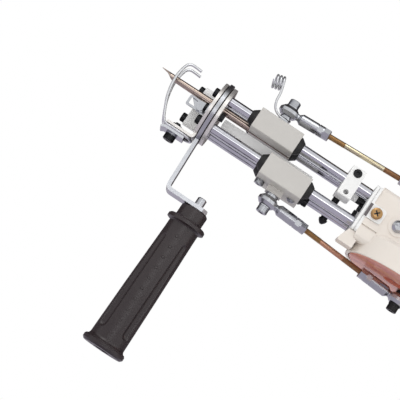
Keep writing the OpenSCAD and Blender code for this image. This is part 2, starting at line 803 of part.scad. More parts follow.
module needle() {
    r = needle_tip_d / 2;
    color([0.8, 0.75, 0.7]) gun() difference() {
        union() {
            rod_x(shank_front_x - 1, shank_front_x + needle_seat, 0, needle_z, needle_d);
            translate([tip_x, 0, needle_z]) rotate([0, 90, 0])
                cylinder(d1 = needle_tip_d, d2 = shank_d - 0.4, h = shank_front_x - fit - tip_x);
        }
        rod_x(tip_x - 1, shank_front_x + needle_seat + 1, 0, needle_z, needle_bore);
        // the slanted cut from the underside to the point on top
        side_slab(-r - 1, r + 1) polygon([
            [tip_x - 1, needle_z + r - 0.5],
            [tip_x + point_len * 0.45, needle_z + r - 1.1],
            [tip_x + point_len, needle_z - r - 0.3],
            [tip_x + point_len, needle_z - r - 1],
            [tip_x - 1, needle_z - r - 1]]);
        // the sides drawn in to the point
        for (side = [-1, 1]) translate([0, 0, needle_z - r - 1]) linear_extrude(2 * r + 2) polygon([
            [tip_x - 1, side * 0.4], [tip_x, side * 0.4],
            [tip_x + point_len * 0.7, side * (r + 0.1)], [tip_x + point_len * 0.7, side * (r + 2)],
            [tip_x - 1, side * (r + 2)]]);
    }
}

module needle_pivot_bolt() {
    color("silver") gun() translate([needle_car_x, 0, upper_ball_z + ball_w / 2 + washer_t])
        cap_screw(big_head_d, big_head_h, pivot_d,
            upper_ball_z + ball_w / 2 + washer_t - bolt_low_z, big_hex_af);
}

module needle_pivot_spacers() {
    low = upper_ball_z - ball_w / 2;
    high = upper_ball_z + ball_w / 2;
    color("lightgray") gun() difference() {
        union() {
            rod_z(needle_car_x, 0, block_top, guide_wire_z - guide_wire_d / 2, 12);
            rod_z(needle_car_x, 0, guide_wire_z + guide_wire_d / 2, guide_wire_z + guide_wire_d / 2 + 1, 10);
            rod_z(needle_car_x, 0, guide_wire_z + guide_wire_d / 2 + 1, low, 8);
            rod_z(needle_car_x, 0, high, high + washer_t, 9.5);
        }
        rod_z(needle_car_x, 0, block_top - 1, high + washer_t + 1, pivot_d + 2 * fit);
    }
}

// The drilled ball of a rod end
module ball() {
    rotate_extrude() {
        difference() {
            circle(d = ball_d);
            translate([-ball_d, -ball_d]) square([ball_d + pivot_d / 2 + fit, 2 * ball_d]);
            translate([0, ball_w / 2]) square(ball_d);
            translate([0, -ball_w / 2 - ball_d]) square(ball_d);
        }
    }
}

// Yarn guide

function guide_path() =
    let(loop_r = (pivot_d + guide_wire_d) / 2 + 0.2)
    let(loop = [for (a = [170:-20:-70]) [
        needle_car_x + loop_r * cos(a), loop_r * sin(a), guide_wire_z]])
    let(up = [-sin(coil_lean), 0, cos(coil_lean)])
    let(along = [-cos(coil_lean), 0, -sin(coil_lean)])
    let(arm = smooth([
        [needle_car_x, -loop_r, guide_wire_z],
        [needle_car_x - 5, -loop_r, guide_wire_z + 0.4],
        [needle_car_x - 9.8, -coil_r + 0.4, guide_wire_z + 2.8],
        [needle_car_x - 12.6, -coil_r, guide_wire_z + 8],
        [coil_at[0] + 2.2, -coil_r, coil_at[2] - 8],
        coil_at + [0, -coil_r, 0]], 4))
    let(coil = [for (a = [15:15:360 * coil_turns])
        coil_at + coil_r * (sin(a) * up - cos(a) * [0, 1, 0]) + along * coil_pitch * a / 360])
    concat(loop, arm, coil);

module yarn_guide() {
    path = guide_path();
    echo(coil_gap = coil_pitch * cos(atan(coil_pitch / (2 * PI * coil_r))) - guide_wire_d);
    color("silver") gun() wire(path, guide_wire_d / 2, 6, [0, 0, 1]);
}

// Scissor carriage

module scissor_block() {
    color("lightgray") gun() difference() {
        union() {
            carriage_block(scissor_mid_x, scissor_low, scissor_low + scissor_block_h);
            translate([scissor_car_x - lug_len / 2, -lug_w / 2, lug_low_z])
                cube([lug_len, lug_w, scissor_low + 1 - lug_low_z]);
        }
        for (y = [-1, 1])
            rod_x(scissor_car_x - block_len, scissor_car_x + block_len,
                y * half_pitch, -half_pitch, bearing_d + 2 * fit);
        translate([scissor_car_x - block_len, -bar_t / 2 - fit, bar_top - bar_h])
            cube([2 * block_len, bar_t + 2 * fit, bar_h]);
        rod_z(scissor_car_x, 0, lug_low_z - 1, lower_bolt_z + 0.5, pivot_d + 2 * fit);
        for (x = bar_screw_at)
            rod_z(scissor_car_x + x, 0, scissor_low - 1, bar_top, bar_screw_d + 2 * fit);
        rod_x(scissor_mid_x + block_len / 2 - 3.2, scissor_mid_x + block_len, 0, rear_screw_z,
            screw_d + 2 * fit);
    }
}

module scissor_bearings() {
    color("silver") gun() bearing_tubes(scissor_mid_x, -half_pitch);
}

module scissor_bearing_seals() {
    color(dark) gun() bearing_seals(scissor_mid_x, -half_pitch);
}

module push_bar() {
    color("whitesmoke") gun() difference() {
        side_slab(-bar_t / 2, bar_t / 2) polygon(outline([
            [bar_front_x, bar_top - bar_h, 1], [bar_back_x, bar_top - bar_h, 1],
            [bar_back_x, bar_top, 1], [bar_front_x, bar_top, 1]]));
        for (x = bar_screw_at)
            rod_z(scissor_car_x + x, 0, bar_top - bar_h - 1, bar_top - 2, bar_screw_d + 2 * fit);
    }
}

module push_bar_screws() {
    length = bar_top - bar_h + 4 - scissor_low;
    color("silver") gun() {
        translate([scissor_car_x + bar_screw_at[0], 0, scissor_low]) rotate([180, 0, 0])
            cap_screw(cap_head_d, cap_head_h, bar_screw_d, length, hex_af);
        translate([scissor_car_x + bar_screw_at[1], 0, scissor_low]) rotate([180, 0, 0])
            pan_screw(cap_head_d, 2, bar_screw_d, length);
    }
}

module scissor_rear_screw() {
    x = scissor_mid_x + block_len / 2;
    color(dark) gun() {
        translate([x + 2.5, 0, rear_screw_z]) rotate([0, 90, 0])
            cap_screw(cap_head_d, cap_head_h, screw_d, 5.5, hex_af);
        difference() {
            rod_x(x, x + 2.5, 0, rear_screw_z, cap_head_d);
            rod_x(x - 1, x + 4, 0, rear_screw_z, screw_d + 2 * fit);
        }
    }
}

module scissor_pivot_bolt() {
    z = -lower_ball_z - ball_w / 2 - washer_t;
    color("silver") gun() translate([scissor_car_x, 0, z]) rotate([180, 0, 0])
        cap_screw(big_head_d, big_head_h, pivot_d, lower_bolt_z - z, big_hex_af);
}

module scissor_pivot_spacers() {
    high = -lower_ball_z + ball_w / 2;
    low = -lower_ball_z - ball_w / 2;
    color("whitesmoke") gun() difference() {
        union() {
            rod_z(scissor_car_x, 0, high, lug_low_z, 10.5);
            rod_z(scissor_car_x, 0, low - washer_t, low, 9.5);
        }
        rod_z(scissor_car_x, 0, low - washer_t - 1, lug_low_z + 1, pivot_d + 2 * fit);
    }
}

// Connecting rods, drawn along X from the carriage's ball at 0 to the crank's ball

module on_rod(from, to) {
    d = to - from;
    translate(from) rotate([0, -asin(d[2] / norm(d)), atan2(d[1], d[0])]) children();
}

module rod_end() {
    r = ring_d / 2;
    difference() {
        union() {
            rotate_extrude() polygon([
                [0, -ring_t / 2], [r - 2.2, -ring_t / 2], [r, -ring_t / 6],
                [r, ring_t / 6], [r - 2.2, ring_t / 2], [0, ring_t / 2]]);
            rod_x(r - 2, r + 0.5, 0, 0, ring_t - 2);
            translate([r + 0.4, 0, 0]) rotate([0, 90, 0])
                cylinder(d1 = ring_t - 2, d2 = rod_shank_d, h = 2.4);
            rod_x(r + 2.8, rod_end_len - 6.2, 0, 0, rod_shank_d);
            rod_x(r + 4, rod_end_len - 0.5, 0, 0, rod_shank_d - 1);
            rod_x(rod_end_len - 5.4, rod_end_len - 0.5, 0, 0, rod_shank_d);
        }
        sphere(d = ball_d + 2 * run);
        for (side = [-1, 1]) translate([rod_end_len - 3.5, side * (rod_nut_af / 2 + 2), 0])
            cube([4, 4, 2 * rod_shank_d], center = true);
        rod_x(rod_end_len - rod_seat, rod_end_len + 1, 0, 0, rod_d + 2 * fit);
    }
}

module both_ends(length) {
    children();
    translate([length, 0, 0]) rotate([0, 180, 0]) children();
}

module con_rod_ends(from, to) {
    color("silver") gun() on_rod(from, to) both_ends(norm(to - from)) rod_end();
}

module con_rod_nuts(from, to) {
    color("silver") gun() on_rod(from, to) both_ends(norm(to - from)) difference() {
        translate([rod_end_len - 0.5, 0, 0]) rotate([0, 90, 0]) rotate(30)
            cylinder(d = rod_nut_af / cos(30), h = nut_t, $fn = 6);
        rod_x(rod_end_len - 2, rod_end_len + nut_t + 1, 0, 0, rod_d + 2 * fit);
    }
}

module con_rod_bar(from, to) {
    length = norm(to - from);
    start = rod_end_len - rod_seat + 0.5;
    plain = rod_end_len + nut_t + 18;
    color([0.76, 0.62, 0.36]) gun() on_rod(from, to) {
        rod_x(start, plain, 0, 0, rod_d);
        rod_x(plain, length - plain, 0, 0, rod_d - 0.5);
        rod_x(length - plain, length - start, 0, 0, rod_d);
    }
}

// Distance of a crank disc's face from the shafts' middle; side is 1 above and -1 below
function face_z(side) = side > 0 ? upper_face_z : lower_face_z;

// Ball, spacer, washer and bolt at a rod's crank end
module crank_end(pin, side) {
    translate([pin[0], pin[1], 0]) mirror([0, 0, side > 0 ? 0 : 1]) children();
}

module crank_ball(pin, side) {
    color("silver") gun() crank_end(pin, side) translate([0, 0, face_z(side) + crank_ball_rise]) ball();
}

module crank_bolt(pin, side) {
    low = face_z(side) + pin_gap;
    top = face_z(side) + crank_ball_rise + ball_w / 2;
    color("silver") gun() crank_end(pin, side) {
        translate([0, 0, top + washer_t])
            cap_screw(big_head_d, big_head_h, pivot_d, top + washer_t - low, big_hex_af);
        difference() {
            union() {
                rod_z(0, 0, low, low + pin_spacer_t, 9);
                rod_z(0, 0, top, top + washer_t, 9.5);
            }
            rod_z(0, 0, low - 1, top + washer_t + 1, pivot_d + 2 * fit);
        }
    }
}

function upper_from() = [needle_car_x, 0, upper_ball_z];
function upper_to() = [upper_pin[0], upper_pin[1], upper_face_z + crank_ball_rise];
function lower_from() = [scissor_car_x, 0, -lower_ball_z];
function lower_to() = [lower_pin[0], lower_pin[1], -lower_face_z - crank_ball_rise];

module needle_rod_bar() {
    con_rod_bar(upper_from(), upper_to());
}

module scissor_rod_bar() {
    con_rod_bar(lower_from(), lower_to());
}

// Shaft bridge and its stop post

module bridge_block() {
    color("whitesmoke") gun() difference() {
        cross_slab(bridge_x, bridge_x + bridge_len) polygon(outline([
            [-block_w / 2, bridge_low_z, 1], [bridge_step_y, bridge_low_z, 1],
            [bridge_step_y, bridge_step_z, 0.5], [block_w / 2, bridge_step_z, 1],
            [block_w / 2, bridge_low_z + bridge_h, 1], [-block_w / 2, bridge_low_z + bridge_h, 1]]));
        at_shafts([1]) rod_x(bridge_x - 1, bridge_x + bridge_len + 1, 0, 0, shaft_d + 2 * fit);
        for (side = [0, 1]) mirror([0, side, 0]) {
            rod_y(bridge_mid_x, -block_w / 2 - 1, bridge_head_y + bridge_screw_len + clear,
                bridge_screw_z, screw_d + 2 * fit);
            rod_y(bridge_mid_x, -block_w / 2 - 1, bridge_head_y, bridge_screw_z, bridge_head_d + 0.6);
        }
        rod_y(bridge_mid_x, -block_w / 2 - 1, -block_w / 2 + 10, bridge_hole_z, bridge_hole_d);
        rod_z(post_x, post_y, bridge_step_z - 1, bridge_step_z + 9, post_pin_d + 2 * fit);
        rod_x(bridge_x + bridge_len - 4.5, bridge_x + bridge_len + 1, 0, tie_z, screw_d + 2 * fit);
    }
}

module bridge_screws() {
    color(dark) gun() for (side = [0, 1]) mirror([0, side, 0])
        translate([bridge_mid_x, bridge_head_y, bridge_screw_z]) rotate([90, 0, 0])
            cap_screw(bridge_head_d, cap_head_h, screw_d, bridge_screw_len, hex_af);
}

// The post hangs behind the far lower shaft, with a pin up into the bridge
module stop_post() {
    color(dark) gun() {
        rod_z(post_x, post_y, post_tip_z, bridge_step_z, post_d);
        rod_z(post_x, post_y, bridge_step_z - 1, bridge_step_z + 8, post_pin_d);
        translate([post_x, post_y, 0]) rotate_extrude() polygon([
            [0, post_tip_z - post_tip_h], [post_tip_d * 0.15, post_tip_z - post_tip_h],
            [post_tip_d * 0.4, post_tip_z - post_tip_h * 0.55],
            [post_tip_d / 2, post_tip_z - post_tip_h * 0.2],
            [post_tip_d / 2, post_tip_z], [0, post_tip_z]]);
    }
}

module bridge_tie() {
    x = bridge_x + bridge_len;
    color([0.75, 0.68, 0.55]) gun() difference() {
        rod_x(x, x + tie_spacer_len, 0, tie_z, tie_spacer_d);
        rod_x(x - 1, plate_x + 1, 0, tie_z, screw_d + 2 * fit);
    }
}

module bridge_tie_sleeve() {
    x = bridge_x + bridge_len + tie_spacer_len;
    color(dark) gun() difference() {
        rod_x(x, plate_x, 0, tie_z, tie_spacer_d);
        rod_x(x - 1, plate_x + 1, 0, tie_z, screw_d + 2 * fit);
    }
}

module bridge_tie_bolt() {
    color(dark) gun() translate([body_x, 0, tie_z]) rotate([0, 90, 0])
        cap_screw(cap_head_d, cap_head_h, screw_d, body_x - bridge_x - bridge_len + 4, hex_af);
}

// Two small screws in the front of the rear plates
module plate_stub_screws() {
    color(dark) gun() for (y = stub_screw_y)
        translate([plate_x, y, stub_screw_z]) rotate([0, -90, 0])
            cap_screw(5.6, 3, 2.5, 4, 2);
}

// Rear plates and body

module plate_outline(inset) {
    y = body_w / 2 - inset;
    polygon(outline([
        [-y, plate_low_z + inset, 3], [y, plate_low_z + inset, 3],
        [y, plate_top_z - inset, 3], [-y, plate_top_z - inset, 3]]));
}

module rear_plates() {
    tab_y = body_w / 2;
    color("whitesmoke") gun() difference() {
        union() {
            // the two plates, and the thin shim that leaves a groove between them
            for (k = [0, 1]) cross_slab(plate_x + k * (rear_plate_t + shim_t / 2),
                plate_x + rear_plate_t - shim_t / 2 + k * (rear_plate_t + shim_t / 2)) plate_outline(0);
            cross_slab(plate_x + 0.5, body_x - 0.5) plate_outline(1.2);
            for (side = [-1, 1]) mirror([0, side > 0 ? 1 : 0, 0]) {
                translate([plate_x + rear_plate_t, -tab_y - side_tab_t, side_tab_z - side_tab_h / 2])
                    cube([rear_plate_t, side_tab_t + 5, side_tab_h]);
                side_slab(-tab_y - side_tab_t, -tab_y) polygon(outline([
                    [body_x - 0.1, side_tab_z - side_tab_h / 2, 0],
                    [body_x + side_tab_len, side_tab_z - side_tab_h / 2, 2.5],
                    [body_x + side_tab_len, side_tab_z + side_tab_h / 2, 2.5],
                    [body_x - 0.1, side_tab_z + side_tab_h / 2, 0]]));
            }
        }
        at_shafts() rod_x(plate_x - 1, body_x + 1, 0, 0, screw_d + 2 * fit);
        rod_x(plate_x - 1, body_x + 1, 0, tie_z, screw_d + 2 * fit);
        for (y = stub_screw_y) rod_x(plate_x - 1, body_x + 1, y, stub_screw_z, 2.5 + 2 * fit);
        rod_y(side_tab_x, -tab_y - 5, tab_y + 5, side_tab_z, screw_d + 2 * fit);
    }
}

module plate_screws() {
    color(dark) gun() at_shafts() translate([body_x, 0, 0]) rotate([0, 90, 0])
        cap_screw(cap_head_d, cap_head_h, screw_d, thread_deep - 3 + 2 * rear_plate_t, hex_af);
}

module side_tab_screws() {
    color([0.83, 0.72, 0.42]) gun() for (side = [-1, 1])
        translate([side_tab_x, side * (body_w / 2 + side_tab_t), side_tab_z])
            rotate([-side * 90, 0, 0]) pan_screw(8.7, 2.6, screw_d, side_tab_t + 6);
}

// The body's outer form, or the hollow inside it when inset is the wall
module body_form(inset) {
    box_front = inset > 0 ? body_x - 1 : body_x;
    // gear housing
    intersection() {
        side_slab(-body_w, body_w) polygon(outline([
            [box_front, -body_low + inset, inset > 0 ? 0 : 2],
            [barrel_x + 3, -body_low + inset, 5], [barrel_x + 3, body_top - inset, 5],
            [box_front, body_top - inset, inset > 0 ? 0 : 2]]));
        cross_slab(body_x - 5, barrel_x + 10) polygon(outline([
            [-body_w / 2 + inset, -body_low + inset, 5 - inset],
            [body_w / 2 - inset, -body_low + inset, 5 - inset],
            [body_w / 2 - inset, flank_z, 2],
            [body_w / 2 - inset - flank_in, body_top - inset, 5 - inset],
            [-body_w / 2 + inset + flank_in, body_top - inset, 5 - inset],
            [-body_w / 2 + inset, flank_z, 2]]));
    }
    // motor barrel with a domed end
    translate([barrel_x + inset, 0, 0]) rotate([0, 90, 0]) rotate_extrude()
        polygon(outline([
            [0, 0, 0], [motor_body_r - inset, 0, inset > 0 ? 0 : 2],
            [motor_body_r - inset, tail_x - barrel_x - 2 * inset, 15 - inset],
            [0, tail_x - barrel_x - 2 * inset, 0]], 5));
    // handle
    translate([handle_x, 0, 0]) rotate([0, -rear_lean, 0])
        translate([0, 0, -handle_len + 2 * inset])
            linear_extrude(handle_len - 2 * inset - (inset > 0 ? 20 : 12)) grip_section(inset);
}

// Round cover above and around the lower crank disc
module crank_skirt() {
    translate([crank_x, 0, 0]) rotate_extrude() polygon([
        [0, skirt_top_z], [skirt_r - 3, skirt_top_z], [skirt_r, skirt_top_z - 3],
        [skirt_r, lip_low_z], [skirt_r - wall, lip_low_z],
        [skirt_r - wall, skirt_top_z - 4], [skirt_r - wall - 2, skirt_top_z - wall],
        [0, skirt_top_z - wall]]);
}

module grip_section(inset) {
    polygon(outline([for (p = [[-1, -1], [1, -1], [1, 1], [-1, 1]]) [
        p[0] * (rear_grip_t / 2 - inset), p[1] * (rear_grip_w / 2 - inset), 14 - inset]], 5));
}

module base_section() {
    polygon(outline([for (p = [[-1, -1], [1, -1], [1, 1], [-1, 1]]) [
        base_x + p[0] * base_len / 2, p[1] * base_w / 2, 22]], 6));
}

module body_shells() {
    front = body_x;
    difference() {
        union() {
            difference() {
                union() {
                    body_form(0);
                    crank_skirt();
                }
                body_form(wall);
                // way from the motor barrel into the gear housing
                rod_x(barrel_x - 4, barrel_x + 8, 0, 0, 30);
            }
            // foot that the tool stands on
            translate([0, 0, -stand_h]) linear_extrude(base_h - 2) base_section();
            difference() {
                hull() {
                    translate([0, 0, -stand_h + base_h - 2]) linear_extrude(0.5) base_section();
                    translate([handle_x, 0, 0]) rotate([0, -rear_lean, 0])
                        translate([0, 0, -handle_len + 32]) linear_extrude(0.5) grip_section(0.4);
                }
                body_form(wall);
            }
            // lip in front of the lower crank disc, on the near side, above the crank pin
            side_slab(lip_y[0], lip_y[1]) polygon(outline([
                [front, lip_top_z, 0], [front + wall, lip_top_z, 0], [front + wall, -body_low, 0],
                [crank_x - skirt_r + 1, -body_low, 0], [crank_x - skirt_r + 1, lip_low_z, 0],
                [front - lip_out, lip_low_z, 1.5], [front - lip_out + 1.7, -27, 1],
                [front - 5, -20.3, 0], [front, -20.3, 0]]));
            // rings that hold the motor
            for (x = [motor_x + 6, motor_x + motor_len - 10]) difference() {
                rod_x(x, x + 4, 0, 0, 2 * motor_body_r - wall);
                rod_x(x - 1, x + 5, 0, 0, motor_d + 2 * fit);
            }
            // raised pads on both sides
            for (side = [-1, 1]) mirror([0, side > 0 ? 1 : 0, 0]) {
                rod_y(case_screw_x[0], -body_w / 2 - 0.8, -body_w / 2 + 1, case_screw_z, 15);
                side_slab(-body_w / 2 - 0.8, -body_w / 2 + 1) polygon(outline([
                    [front, pad_low_z, 0], [front + pad_len, pad_low_z, 0.5],
                    [front + pad_len, pad_low_z + 5, 1.5], [front, pad_low_z + 5, 0]]));
            }
            // ledges above and below the switch, and pillars for the handle's screws
            for (z = [trigger_z - switch_h / 2 - 2, trigger_z + switch_h / 2])
                translate([switch_x + 2, -rear_grip_w / 2 + 1, z]) cube([10, rear_grip_w - 2, 2]);
            for (z = handle_screw_z) rod_y(grip_x_at(z), -rear_grip_w / 2 + 1, rear_grip_w / 2 - 1, z, 8);
            // seat of the speed knob
            rod_x(grip_x_at(knob_z) + rear_grip_t / 2 - wall - 1, knob_x - clear, 0, knob_z, 20);
        }
        rod_z(crank_x, 0, -body_low - 5, body_top + 5, 2 * hub_r + 2 * clear);
        // slit under each raised pad
        for (side = [-1, 1]) translate([front + 0.6, side * body_w / 2 - 0.9, pad_low_z - 1])
            cube([pad_len - 0.6, 1.8, 1]);
        for (x = case_screw_x) rod_y(x, -body_w, body_w, case_screw_z, screw_d + 2 * fit);
        rod_y(side_tab_x, -body_w, body_w, side_tab_z, screw_d + 2 * fit);
        // trigger slot
        translate([grip_x_at(trigger_z) - rear_grip_t, -trigger_w / 2 - clear,
            trigger_z - trigger_h / 2 - clear])
            cube([rear_grip_t, trigger_w + 2 * clear, trigger_h + 2 * clear]);
        // speed knob and power inlet
        rod_x(grip_x_at(knob_z) - 5, knob_x + 1, 0, knob_z, knob_shaft_d + 2 * run);
        rod_x(grip_x_at(inlet_z), inlet_x + 10, 0, inlet_z, inlet_d + 2 * fit);
        // cooling slots of the motor
        for (i = [0:4], side = [-1, 1])
            translate([motor_x + motor_len - 4 + i * 4.5, 0, 0]) rotate([side * 52, 0, 0])
                translate([0, -5, motor_body_r - 2 * wall]) cube([2, 10, 4 * wall]);
        // seats of the handle's screws
        for (z = handle_screw_z) rod_y(grip_x_at(z), -body_w, body_w, z, screw_d + 2 * fit);
    }
}

module shell_half(side) {
    color([0.93, 0.9, 0.84]) gun() intersection() {
        body_shells();
        translate([0, side < 0 ? -2 * body_w : 0, -stand_h - 10])
            cube([base_x + base_len, 2 * body_w, 2 * stand_h]);
    }
}

module near_shell() {
    shell_half(-1);
}

module far_shell() {
    shell_half(1);
}

module shell_screws() {
    color("silver") gun() for (side = [-1, 1]) {
        for (i = [0:1])
            translate([case_screw_x[i], side * (body_w / 2 + (i == 0 ? 0.8 : 0)), case_screw_z])
                rotate([-side * 90, 0, 0]) pan_screw(9.5, 2.8, screw_d, wall + 4);
        for (z = handle_screw_z)
            translate([grip_x_at(z), side * rear_grip_w / 2, z])
                rotate([-side * 90, 0, 0]) pan_screw(8, 2.2, screw_d, rear_grip_w / 2 - 2);
    }
}

// Gear frame, crankshaft and what turns with it

module gear_frame() {
    gap = 0.1;
    color("darkgray") gun() difference() {
        cross_slab(frame_x0, frame_x1) difference() {
            polygon(outline([
                [-body_w / 2 + wall + gap, -body_low + wall + gap, 3],
                [body_w / 2 - wall - gap, -body_low + wall + gap, 3],
                [body_w / 2 - wall - gap, flank_z - 1, 3],
                [body_w / 2 - wall - gap - flank_in, body_top - wall - gap, 3],
                [-body_w / 2 + wall + gap + flank_in, body_top - wall - gap, 3],
                [-body_w / 2 + wall + gap, flank_z - 1, 3]]));
            polygon(outline([
                [-body_w / 2 + wall + 3.2, -body_low + wall + crank_bearing_t, 1],
                [body_w / 2 - wall - 3.2, -body_low + wall + crank_bearing_t, 1],
                [body_w / 2 - wall - 3.2, flank_z - 2, 1],
                [body_w / 2 - wall - flank_in - 3, body_top - wall - crank_bearing_t, 1],
                [-body_w / 2 + wall + flank_in + 3, body_top - wall - crank_bearing_t, 1],
                [-body_w / 2 + wall + 3.2, flank_z - 2, 1]]));
        }
        rod_z(crank_x, 0, -body_low, body_top, crank_bearing_d + 2 * fit);
        for (x = case_screw_x) rod_y(x, -body_w, body_w, case_screw_z, screw_d + 2 * fit);
    }
}

module crank_bearings() {
    color("silver") gun() for (z = [body_top - wall - crank_bearing_t, -body_low + wall + 0.1])
        difference() {
            rod_z(crank_x, 0, z, z + crank_bearing_t - 0.1, crank_bearing_d);
            rod_z(crank_x, 0, z - 1, z + crank_bearing_t + 1, crankshaft_d + 2 * run);
        }
}

module crankshaft() {
    color("silver") gun() rod_z(crank_x, 0, -lower_face_z + 2, upper_face_z - 2, crankshaft_d);
}

module crank_disc(r, side, housing) {
    face = face_z(side);
    gun() translate([crank_x, 0, 0]) mirror([0, 0, side > 0 ? 0 : 1]) difference() {
        union() {
            rotate_extrude() polygon(outline([
                [0, face - crank_disc_t, 0], [r, face - crank_disc_t, 0.8],
                [r, face, 0.8], [0, face, 0]]));
            rod_z(0, 0, housing - wall + 0.4, face - 1, 2 * hub_r);
        }
        rod_z(0, 0, 0, face + 1, crankshaft_d + 2 * fit);
        rod_z(0, 0, face - 2.5, face + 1, crankshaft_d + 6);
    }
}

module upper_crank_disc() {
    color([0.8, 0.72, 0.5]) crank_disc(upper_disc_r, 1, body_top);
}

module lower_crank_disc() {
    color([0.85, 0.6, 0.5]) crank_disc(lower_disc_r, -1, body_low);
}

module bevel_gear() {
    color("darkgray") gun() translate([crank_x, 0, 0]) difference() {
        rotate_extrude() polygon([
            [0, -bevel_r / bevel_ratio - 5], [bevel_r - 3, -bevel_r / bevel_ratio - 5],
            [bevel_r, -bevel_r / bevel_ratio - 1.2],
            [bevel_r, -bevel_r / bevel_ratio - bevel_gap],
            [bevel_r / 2, -bevel_r / 2 / bevel_ratio - bevel_gap],
            [bevel_r / 2, -bevel_r / 2 / bevel_ratio - 2.5], [0, -bevel_r / 2 / bevel_ratio - 2.5]]);
        rod_z(0, 0, -bevel_r, bevel_r, crankshaft_d + 2 * fit);
    }
}

module bevel_pinion() {
    color("darkgray") gun() translate([crank_x, 0, 0]) difference() {
        union() {
            translate([bevel_r / 2, 0, 0]) rotate([0, 90, 0])
                cylinder(r1 = bevel_r / 2 / bevel_ratio, r2 = bevel_r / bevel_ratio, h = bevel_r / 2);
            rod_x(bevel_r, bevel_r + 6, 0, 0, 11);
        }
        rod_x(0, bevel_r + 10, 0, 0, motor_shaft_d + 2 * fit);
    }
}

// Motor

module motor_can() {
    color("gray") gun() difference() {
        rod_x(motor_x, motor_x + motor_len, 0, 0, motor_d);
        rod_x(motor_x + 3, motor_x + motor_len - 4, 0, 0, motor_d - 5);
        rod_x(motor_x - 1, motor_x + 4, 0, 0, motor_shaft_d + 2 * run);
        rod_x(motor_x + motor_len - 4.01, motor_x + motor_len + 1, 0, 0, motor_d - 5);
    }
}

module motor_end_cap() {
    color(dark) gun() difference() {
        rod_x(motor_x + motor_len - 4, motor_x + motor_len, 0, 0, motor_d - 5 - 2 * fit);
        rod_x(motor_x, motor_x + motor_len + 1, 0, 0, motor_shaft_d + 2 * run);
    }
}

module motor_rotor() {
    color([0.6, 0.4, 0.25]) gun() {
        rod_x(motor_x + 9, motor_x + motor_len - 12, 0, 0, motor_d - 12);
        rod_x(crank_x + bevel_r / 2 + 1, motor_x + 9, 0, 0, motor_shaft_d);
        rod_x(motor_x + motor_len - 12, motor_x + motor_len + 10, 0, 0, motor_shaft_d);
    }
}

module cooling_fan() {
    x = motor_x + motor_len + 3;
    color(dark) gun() difference() {
        union() {
            rod_x(x, x + 1.5, 0, 0, motor_d - 12);
            rod_x(x, x + 7, 0, 0, 11);
            for (i = [0:8]) translate([x + 1, 0, 0]) rotate([i * 40 + 10, 0, 0])
                translate([0, -0.75, 4]) cube([5, 1.5, motor_d / 2 - 11]);
        }
        rod_x(x - 1, x + 10, 0, 0, motor_shaft_d + 2 * fit);
    }
}

// Trigger, switch, speed control and power inlet

module trigger() {
    x = grip_x_at(trigger_z) - rear_grip_t / 2;
    color(dark) gun() side_slab(-trigger_w / 2, trigger_w / 2) polygon(outline([
        [x + trigger_in, trigger_z - trigger_h / 2, 1], [x + trigger_in, trigger_z + trigger_h / 2, 1],
        [x - 9, trigger_z + trigger_h / 2, 3], [x - 5.5, trigger_z, 16],
        [x - 7, trigger_z - trigger_h / 2, 3]]));
}

module trigger_switch() {
    color(dark) gun()
        translate([switch_x, -switch_w / 2, trigger_z - switch_h / 2]) cube([14, switch_w, switch_h]);
}

module speed_board() {
    x = knob_x - 14;
    color([0.15, 0.4, 0.25]) gun() {
        translate([x - 1.6, -12, knob_z - 20]) cube([1.6, 24, 34]);
        rod_x(x, x + 6, 0, knob_z, 14);
    }
}

module speed_knob() {
    color(dark) gun() difference() {
        union() {
            rod_x(knob_x - 7.5, knob_x, 0, knob_z, knob_shaft_d);
            translate([knob_x, 0, knob_z]) rotate([0, 90, 0]) cylinder(d = 16, h = 2);
            translate([knob_x + 2, 0, knob_z]) rotate([0, 90, 0]) cylinder(d1 = 15, d2 = 13, h = 8);
        }
        for (i = [0:15]) translate([knob_x + 3, 0, knob_z]) rotate([i * 22.5, 0, 0])
            translate([0, -0.5, 6.6]) cube([9, 1, 3]);
    }
}

module power_inlet() {
    color(dark) gun() difference() {
        union() {
            rod_x(inlet_x - 12, inlet_x, 0, inlet_z, inlet_d);
            rod_x(inlet_x, inlet_x + 1.5, 0, inlet_z, inlet_d + 3);
        }
        difference() {
            rod_x(inlet_x - 9, inlet_x + 3, 0, inlet_z, inlet_bore);
            rod_x(inlet_x - 10, inlet_x, 0, inlet_z, 2.1);
        }
    }
}

// Pieces that are fastened together in one place

module foot_clamp_plate() {
    clamp_plate();
    foot_clamp_washer();
}

module fixed_blade() {
    fixed_blade_plate();
    blade_pivot();
}

module foot_clamp_fasteners() {
    foot_clamp_screw();
    foot_clamp_nut();
}

module blade_fasteners() {
    blade_screw();
    blade_nut();
}

module needle_block_screws() {
    needle_pivot_bolt();
    needle_grub_screws();
}

module needle_pivot_ball() {
    color("silver") gun() translate([needle_car_x, 0, upper_ball_z]) ball();
    needle_pivot_spacers();
}

module needle_crank_pin() {
    crank_ball(upper_pin, 1);
    crank_bolt(upper_pin, 1);
}

module needle_rod_joints() {
    con_rod_ends(upper_from(), upper_to());
    con_rod_nuts(upper_from(), upper_to());
}

module scissor_block_screws() {
    scissor_pivot_bolt();
    push_bar_screws();
}

module scissor_pivot_ball() {
    color("silver") gun() translate([scissor_car_x, 0, -lower_ball_z]) ball();
    scissor_pivot_spacers();
}

module scissor_crank_pin() {
    crank_ball(lower_pin, -1);
    crank_bolt(lower_pin, -1);
}

module scissor_rod_joints() {
    con_rod_ends(lower_from(), lower_to());
    con_rod_nuts(lower_from(), lower_to());
}

module bridge_tie_rod() {
    bridge_tie_sleeve();
    bridge_tie_bolt();
    plate_stub_screws();
}

module shaft_bridge() {
    bridge_block();
    bridge_tie();
}

module motor_casing() {
    motor_can();
    motor_end_cap();
}

module shaft_screws() {
    front_shaft_screws();
    plate_screws();
}

module bridge_bolts() {
    bridge_screws();
    stop_post();
}

